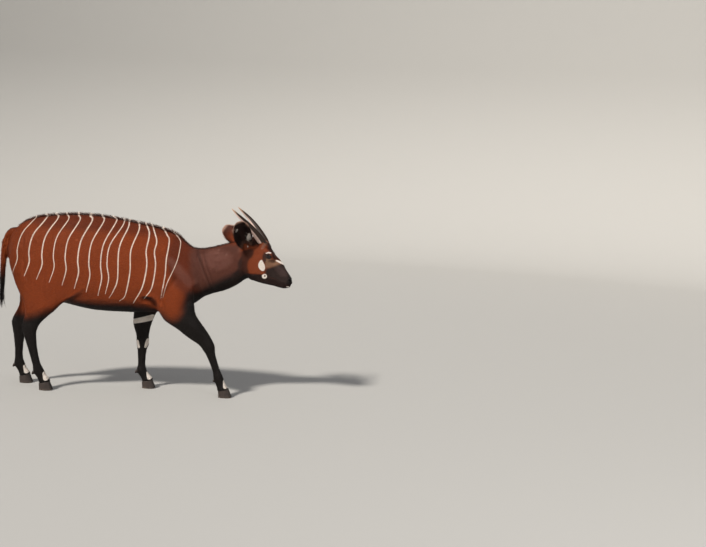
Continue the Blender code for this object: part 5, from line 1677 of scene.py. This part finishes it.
def makeHorn(name, side):
    rows = curveThrough([(x, side * y, z, r) for x, y, z, r in horns["line"]], horns["steps"])
    sides, last = horns["sides"], len(rows) - 1
    points, keels, rears, places = [], [], [], []
    for k, (x, y, z, radius) in enumerate(rows):
        before, after = rows[max(k - 1, 0)], rows[min(k + 1, last)]
        way = Vector(after[:3] - before[:3]).normalized()
        outward = Vector((0, side, 0))
        outward = (outward - way * outward.dot(way)).normalized()
        rear = way.cross(outward) * side
        share = k / last
        turn = horns["twist"] * share
        wave = math.sin(2 * math.pi * horns["rings"] * share ** horns["ringCrowd"])
        wave = horns["ringHeight"] * (wave - 1) * (1 - share) ** horns["ringFade"]
        for j in range(sides):
            angle = 2 * math.pi * j / sides
            off = math.atan2(math.sin(angle - turn), math.cos(angle - turn))
            keel = math.exp(-((off / horns["keelWidth"]) ** 2))
            size = radius * (1 + horns["keel"] * keel) + wave * (1 - 0.5 * keel)
            ring = outward * horns["flat"] * math.cos(angle) + rear * math.sin(angle)
            points.append(Vector((x, y, z)) + ring * size)
            keels.append(keel)
            rears.append(math.sin(angle))
            places.append((math.cos(angle), math.sin(angle), share))
    end = Vector(rows[-1][:3])
    points.append(end + (end - Vector(rows[-2][:3])).normalized() * horns["tip"])
    keels.append(0)
    rears.append(0)
    places.append((0, 0, 1))
    faces = ringFaces(last + 1, sides)
    faces += [(last * sides + j, last * sides + (j + 1) % sides, len(points) - 1) for j in range(sides)]
    faces.append(tuple(range(sides)))
    mesh = meshOf(name, turned(np.array([tuple(p) for p in points])), faces)
    faceOut(mesh)
    storeNumber(mesh, "keel", keels)
    storeNumber(mesh, "rear", rears)
    storeVector(mesh, "hornPlace", places)
    shadeSmooth(mesh, hornMaterial)
    return newObject(name, mesh)


def makeHornMaterial():
    material, tree, shader = newMaterial("horn", {"Specular IOR Level": 0.22})
    place = tree.node("ShaderNodeAttribute", {"attribute_name": "hornPlace"}, out=1)
    along = tree.node("ShaderNodeSeparateXYZ", None, {0: place}, out=2)
    streaks = tree.noise(1.6, 5.0, stretch=(9.0, 9.0, 2.2), place=place)
    fine = tree.noise(2.0, 3.0, stretch=(34.0, 34.0, 5.0), place=place)
    colour = tree.mix(streaks, rgb(22, 14, 10), rgb(54, 37, 27))
    # painted highlight: a pale strip on the rear face of each horn, where it would catch the light
    rearGlint = tree.step(tree.number("rear"), 0.02, 0.38) * tree.step(along, 0.02, 0.10) * (0.72 + 0.4 * fine)
    colour = tree.mix(rearGlint, colour, rgb(214, 186, 174))
    # painted highlight along the keel
    colour = tree.mix(tree.number("keel") * 0.25, colour, rgb(120, 98, 84))
    colour = tree.mix(tree.step(along, 0.84, 1.0) * 0.75, colour, rgb(196, 160, 130))
    feed(tree, shader, Base_Color=colour, Roughness=0.42 + 0.20 * fine, Normal=tree.bump(fine, 0.0008, 0.6))
    return material


hornMaterial = makeHornMaterial()

ball = {
    "radius": 0.0203,
    "cornea": 0.0009,
    "corneaReach": 0.62,
    "forward": 0.28,  # how far the eye looks ahead
    "upward": 0.03,
    "follow": 0.6,  # how much the pupil follows the tilt of the slit
    "iris": 0.66,  # the angles from the middle of the eye to the edge of the iris
    "pupilLength": 0.40,
    "pupilHeight": 0.24,
    "rings": 40,
    "sides": 56,
    "crowd": 1.15,  # the rings stand closer at the front
}


def makeEye(name, side):
    x, y, z = eyes["centre"]
    axis = Vector((ball["forward"], side, ball["upward"])).normalized()
    tilt = eyes["slitTilt"] * ball["follow"]
    flatWay = Vector((math.cos(tilt), 0, math.sin(tilt)))
    flatWay = (flatWay - axis * flatWay.dot(axis)).normalized()
    upWay = axis.cross(flatWay)
    points, places = [], []
    rings, sides = ball["rings"], ball["sides"]
    for k in range(rings + 1):
        polar = math.pi * (k / rings) ** ball["crowd"]
        radius = ball["radius"] + ball["cornea"] * math.exp(-((polar / ball["corneaReach"]) ** 4))
        for j in range(sides):
            angle = 2 * math.pi * j / sides
            ring = flatWay * math.cos(angle) + upWay * math.sin(angle)
            points.append(Vector((x, side * y, z)) + (axis * math.cos(polar) + ring * math.sin(polar)) * radius)
            places.append((polar * math.cos(angle), polar * math.sin(angle), polar))
    mesh = meshOf(name, turned(np.array([tuple(p) for p in points])), ringFaces(rings + 1, sides))
    storeVector(mesh, "eyePlace", places)
    faceOut(mesh, join=1e-6)
    shadeSmooth(mesh, eyeMaterial)
    return newObject(name, mesh)


def makeEyeMaterial():
    material, tree, shader = newMaterial("eye", {"Specular IOR Level": 0.15, "Coat Roughness": 0.02})
    place = tree.node("ShaderNodeAttribute", {"attribute_name": "eyePlace"}, out=1)
    across = tree.node("ShaderNodeSeparateXYZ", None, {0: place})
    up = tree.also(across, 1)
    polar = tree.also(across, 2)
    wide, tall = across / ball["pupilLength"], up / ball["pupilHeight"]
    pupil = 1 - tree.step(wide * wide + tall * tall, 0.85, 1.15)
    rays = tree.noise(2.0, 4.0, stretch=(14.0, 14.0, 3.0), place=place)
    colour = tree.mix(rays, rgb(18, 9, 6), rgb(46, 25, 14))
    colour = tree.mix(tree.step(polar, ball["iris"] - 0.10, ball["iris"]), colour, rgb(20, 12, 10))
    colour = tree.mix(tree.step(polar, ball["iris"] + 0.25, ball["iris"] + 0.55), colour, rgb(96, 74, 64))
    colour = tree.mix(pupil, colour, (0.002, 0.002, 0.003))
    feed(tree, shader, Base_Color=colour, Coat_Weight=0.5 - 0.1 * rays,
         Roughness=0.06 + 0.10 * tree.step(polar, 0.9, 1.2))
    return material


eyeMaterial = makeEyeMaterial()

hoof = {
    "voxel": 0.0018,
    "rounds": 7,
    "rings": 5,
    "ringHeight": 0.00016,
    "ringsUneven": (1.4, 9, 0.8, 60),  # how far and how fast the rings wander, upward and along
    "sole": 0.0012,  # below this it is kept flat
}


def mergedCopy(name):
    mesh = bpy.data.meshes.new(name)
    layBack(nodeSheet(name), mesh)
    return mesh


def makeHooves(claws):
    parts = []
    amountUp, rateUp, amountAlong, rateAlong = hoof["ringsUneven"]
    for claw in claws:
        solid = newObject("claw", mergedCopy(claw))
        part = wrapped(remeshed(solid.data, hoof["voxel"]), solid)
        discard(solid)
        points = pointsOf(part.data)
        top = points[:, 2].max()
        sole = points[:, 2] < hoof["sole"]
        points = relaxed(points, edgesOf(part.data), np.full(len(points), float(hoof["rounds"])))
        setPoints(part.data, points)
        normals = normalsOf(part.data)
        rise = points[:, 2] / top
        upward = amountUp * np.sin(rateUp * rise)
        along = amountAlong * np.sin(points[:, 0] * rateAlong)
        wave = np.sin(2 * math.pi * hoof["rings"] * rise + upward + along)
        wave *= smooth(rise, 0.08, 0.25) * (1 - smooth(np.abs(normals[:, 2]), 0.5, 0.8))
        points += normals * (wave * hoof["ringHeight"])[:, None]
        points[sole, 2] = 0.0
        points[:, 2] = np.maximum(points[:, 2], 0.0)
        setPoints(part.data, points)
        parts.append((pointsOf(part.data), [tuple(f.vertices) for f in part.data.polygons]))
        discard(part)
    mesh = joined("hooves", parts)
    shadeSmooth(mesh, hoofMaterial)
    return newObject("hooves", mesh)


def makeHoofMaterial():
    material, tree, shader = newMaterial("hoof", {"Specular IOR Level": 0.4})
    streaks = tree.noise(60, 4, 0.6, (1.6, 1.6, 0.45))
    place = tree.node("ShaderNodeSeparateXYZ", None, {0: tree.place()}, out=2)
    colour = tree.mix(streaks, rgb(30, 23, 21), rgb(64, 53, 47))
    scuffed = (1 - tree.step(place, 0.002, 0.016)) * tree.step(tree.noise(90, 3), 0.4, 0.7)
    colour = tree.mix(scuffed * 0.6, colour, rgb(112, 98, 85))
    feed(tree, shader, Base_Color=colour, Roughness=0.42 + 0.25 * streaks,
         Normal=tree.bump(streaks, 0.0005, 0.35))
    return material


hoofMaterial = makeHoofMaterial()

dewclaw = {
    "sizes": (0.0100, 0.0082, 0.0168),
    "girth": 0.92,
    "taper": 0.22,  # narrower below
    "apart": 0.0140,
    "tilt": math.radians(35),
    "rings": 14,
    "sides": 20,
    "fetlocks": [(0.488, -0.108, 0.116), (-0.068, 0.101, 0.114), (-0.720, -0.112, 0.116),
                 (-0.908, 0.112, 0.120)],
}


def makeDewclaws():
    points, faces = [], []
    rings, sides = dewclaw["rings"], dewclaw["sides"]
    for x, y, z in dewclaw["fetlocks"]:
        for side in (-1, 1):
            start = len(points)
            place = Vector((x, y + side * dewclaw["apart"], z))
            for k in range(rings + 1):
                polar = math.pi * k / rings
                girth = math.sin(polar) * (dewclaw["girth"] + dewclaw["taper"] * math.cos(polar))
                for j in range(sides):
                    angle = 2 * math.pi * j / sides
                    point = (girth * math.cos(angle), girth * math.sin(angle), math.cos(polar))
                    point = Vector([v * size for v, size in zip(point, dewclaw["sizes"])])
                    points.append(Matrix.Rotation(dewclaw["tilt"], 3, "Y") @ point + place)
            faces += ringFaces(rings + 1, sides, start)
    mesh = meshOf("dewclaws", points, faces)
    faceOut(mesh, join=1e-6)
    shadeSmooth(mesh, hoofMaterial)
    return newObject("dewclaws", mesh)


lashes = {
    "stations": 24,
    "ends": (-0.82, 0.86),  # of the slit's half length
    "band": 0.0009,  # they root in a band of this width along the upper lid
    "splay": 0.45,
    "spacing": 0.0011,
    "length": 0.0100,
    "width": 0.70,
    "rise": 0.12,
    "wander": 0.20,
    "seed": 5,
}


def lashBands():  # a band along the rim of each upper lid
    x, y, z = eyes["centre"]
    tilt, reach = eyes["slitTilt"], eyes["radius"] + eyes["upperLid"] * 0.70
    upWay = np.array((-math.sin(tilt), 0, math.cos(tilt)))
    along = np.array((math.cos(tilt), 0, math.sin(tilt)))
    points, ways, faces = [], [], []
    for side in (-1, 1):
        start = len(points)
        for share in np.linspace(*lashes["ends"], lashes["stations"]):
            rise = eyes["slitHalfHeight"] * (1 - share ** 2) ** (1 / eyes["slitPower"])
            for wide in (0, 1):
                flat = along * share * eyes["slitHalfLength"] + upWay * rise
                root = flat + np.array((0, math.sqrt(reach ** 2 - flat @ flat) - wide * lashes["band"], 0))
                out = root / reach + along * share * lashes["splay"]
                points.append((root + (x, y, z)) * (1, side, 1))
                ways.append(out * (1, side, 1))
        for k in range(lashes["stations"] - 1):
            a = start + 2 * k
            faces.append((a, a + 1, a + 3, a + 2) if side > 0 else (a, a + 2, a + 3, a + 1))
    mesh = meshOf("lashes", turned(np.array(points)), faces)
    ahead = turned(np.array(points) + np.array(ways) * 0.001)
    storeVector(mesh, "lie", ahead - pointsOf(mesh))
    for name, value in (("bare", 0.0), ("furSpacing", lashes["spacing"]), ("furLength", lashes["length"])):
        storeNumber(mesh, name, np.full(len(points), value))
    mesh.attributes.new("region", "INT", "FACE")
    layer = mesh.uv_layers.new(name="hideMap")
    for loop in mesh.loops:
        layer.data[loop.index].uv = (0.05 + 0.9 * (loop.vertex_index // 2) / len(points) * 2, 0.5)
    return mesh


def makeLashes():
    material, _, shader = newMaterial("lash", {"Roughness": 0.5})
    shader.inputs["Base Color"].default_value = (0.008, 0.006, 0.006, 1)
    return grow("lashes", lashBands(), lashTree, lashIds, False, Region=0, Spacing=lashes["spacing"],
                Width=lashes["width"], Rise=lashes["rise"], Wander=lashes["wander"], Seed=lashes["seed"],
                Material=material)


coatPieces += [growLong(name, **settings) for name, settings in longHair.items()]
claws = [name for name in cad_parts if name.startswith("claw_")]
pieces = {
    "hornRight": (makeHorn("hornRight", -1), "horn", ["horn_right"]),
    "hornLeft": (makeHorn("hornLeft", 1), "horn", ["horn_left"]),
    "eyeRight": (makeEye("eyeRight", -1), "eye", ["eye_right"]),
    "eyeLeft": (makeEye("eyeLeft", 1), "eye", ["eye_left"]),
    "hooves": (makeHooves(claws), "hoof", claws),
    "dewclaws": (makeDewclaws(), "hoof", []),
    "lashes": (makeLashes(), "dark_coat", []),
    "skin": (skin, "coat", skinPlan["flesh"] + ["ear_right", "ear_left"]),
}
for tuft in shortTufts + longLocks + lashHairs:
    discard(tuft)
for piece, slot, nodes in pieces.values():
    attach(piece, "root")
    if nodes:
        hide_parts(*nodes)
for piece in coatPieces:
    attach(piece, "root")
print("pieces", len(coatPieces) + len(pieces))


# A plain pale floor that curves up all round, and soft lights
studio = {
    "floor": rgb(170, 168, 164),
    "flat": 9.8,  # how far the floor runs level
    "bend": 3.0,
    "bendSteps": 12,
    "wallTop": 8.0,
    "glow": 0.36,  # of the wall that is turned from the light
    "sides": 96,
    "world": 0.38,
    "worldTint": (0.86, 0.90, 1.0),
    "sunWay": (0.55, 0.60, -0.80),  # the way that the light falls
    "sun": 4.3,
    "sunAngle": math.radians(7),
    "sunTint": (1.0, 0.96, 0.90),
    "sunPlace": (-3, -4, 6),
    "fill": ((4.5, -5.5, 3.2), (0.4, 0.0, 0.7), 3.5, 84),  # place, aimed at, size, power
}


def makeStudio():
    bend, sides = studio["bend"], studio["sides"]
    profile = [(studio["flat"], 0.0)]
    for k in range(1, studio["bendSteps"] + 1):
        angle = math.pi / 2 * k / studio["bendSteps"]
        profile.append((studio["flat"] + bend * math.sin(angle), bend * (1 - math.cos(angle))))
    profile.append((studio["flat"] + bend, studio["wallTop"]))
    points = [(r * math.cos(2 * math.pi * j / sides), r * math.sin(2 * math.pi * j / sides), z)
              for r, z in profile for j in range(sides)]
    faces = [tuple(range(sides))] + [(a, d, c, b) for a, b, c, d in ringFaces(len(profile), sides)]
    floor = newObject("floor", meshOf("floor", points, faces))
    floor.data.polygons.foreach_set("use_smooth", np.ones(len(faces), bool))
    floor.visible_shadow = False
    material, tree, shader = newMaterial("floor", {"Roughness": 0.9, "Specular IOR Level": 0.2})
    shader.inputs["Base Color"].default_value = (*studio["floor"], 1)
    shader.inputs["Emission Strength"].default_value = 1.0
    across = tree.node("ShaderNodeSeparateXYZ", None, {0: tree.place()})
    wayX, wayY, _ = studio["sunWay"]
    shaded = 0 - (across * wayX + tree.also(across, 1) * wayY) / studio["flat"]
    glow = tree.step(shaded, -0.30, 0.75) * tree.step(tree.also(across, 2), 0.1, 2.4) * studio["glow"]
    feed(tree, shader,
         Emission_Color=tree.node("ShaderNodeCombineColor", None, {0: glow, 1: glow, 2: glow * 0.97}))
    floor.data.materials.append(material)
    world = bpy.data.worlds.new("studio")
    bpy.context.scene.world = world
    world.use_nodes = True
    world.node_tree.nodes["Background"].inputs[0].default_value = (*studio["worldTint"], 1)
    world.node_tree.nodes["Background"].inputs[1].default_value = studio["world"]
    sun = bpy.data.lights.new("sun", "SUN")
    sun.energy, sun.angle, sun.color = studio["sun"], studio["sunAngle"], studio["sunTint"]
    place, target, size, power = studio["fill"]
    fill = bpy.data.lights.new("fill", "AREA")
    fill.shape, fill.size, fill.energy = "DISK", size, power
    lights = ((sun, studio["sunPlace"], Vector(studio["sunWay"])),
              (fill, place, Vector(target) - Vector(place)))
    for light, start, way in lights:
        obj = bpy.data.objects.new(light.name, light)
        bpy.context.scene.collection.objects.link(obj)
        obj.location = start
        obj.rotation_euler = way.to_track_quat("-Z", "Y").to_euler()
    bpy.context.scene.view_settings.view_transform = "Standard"


makeStudio()
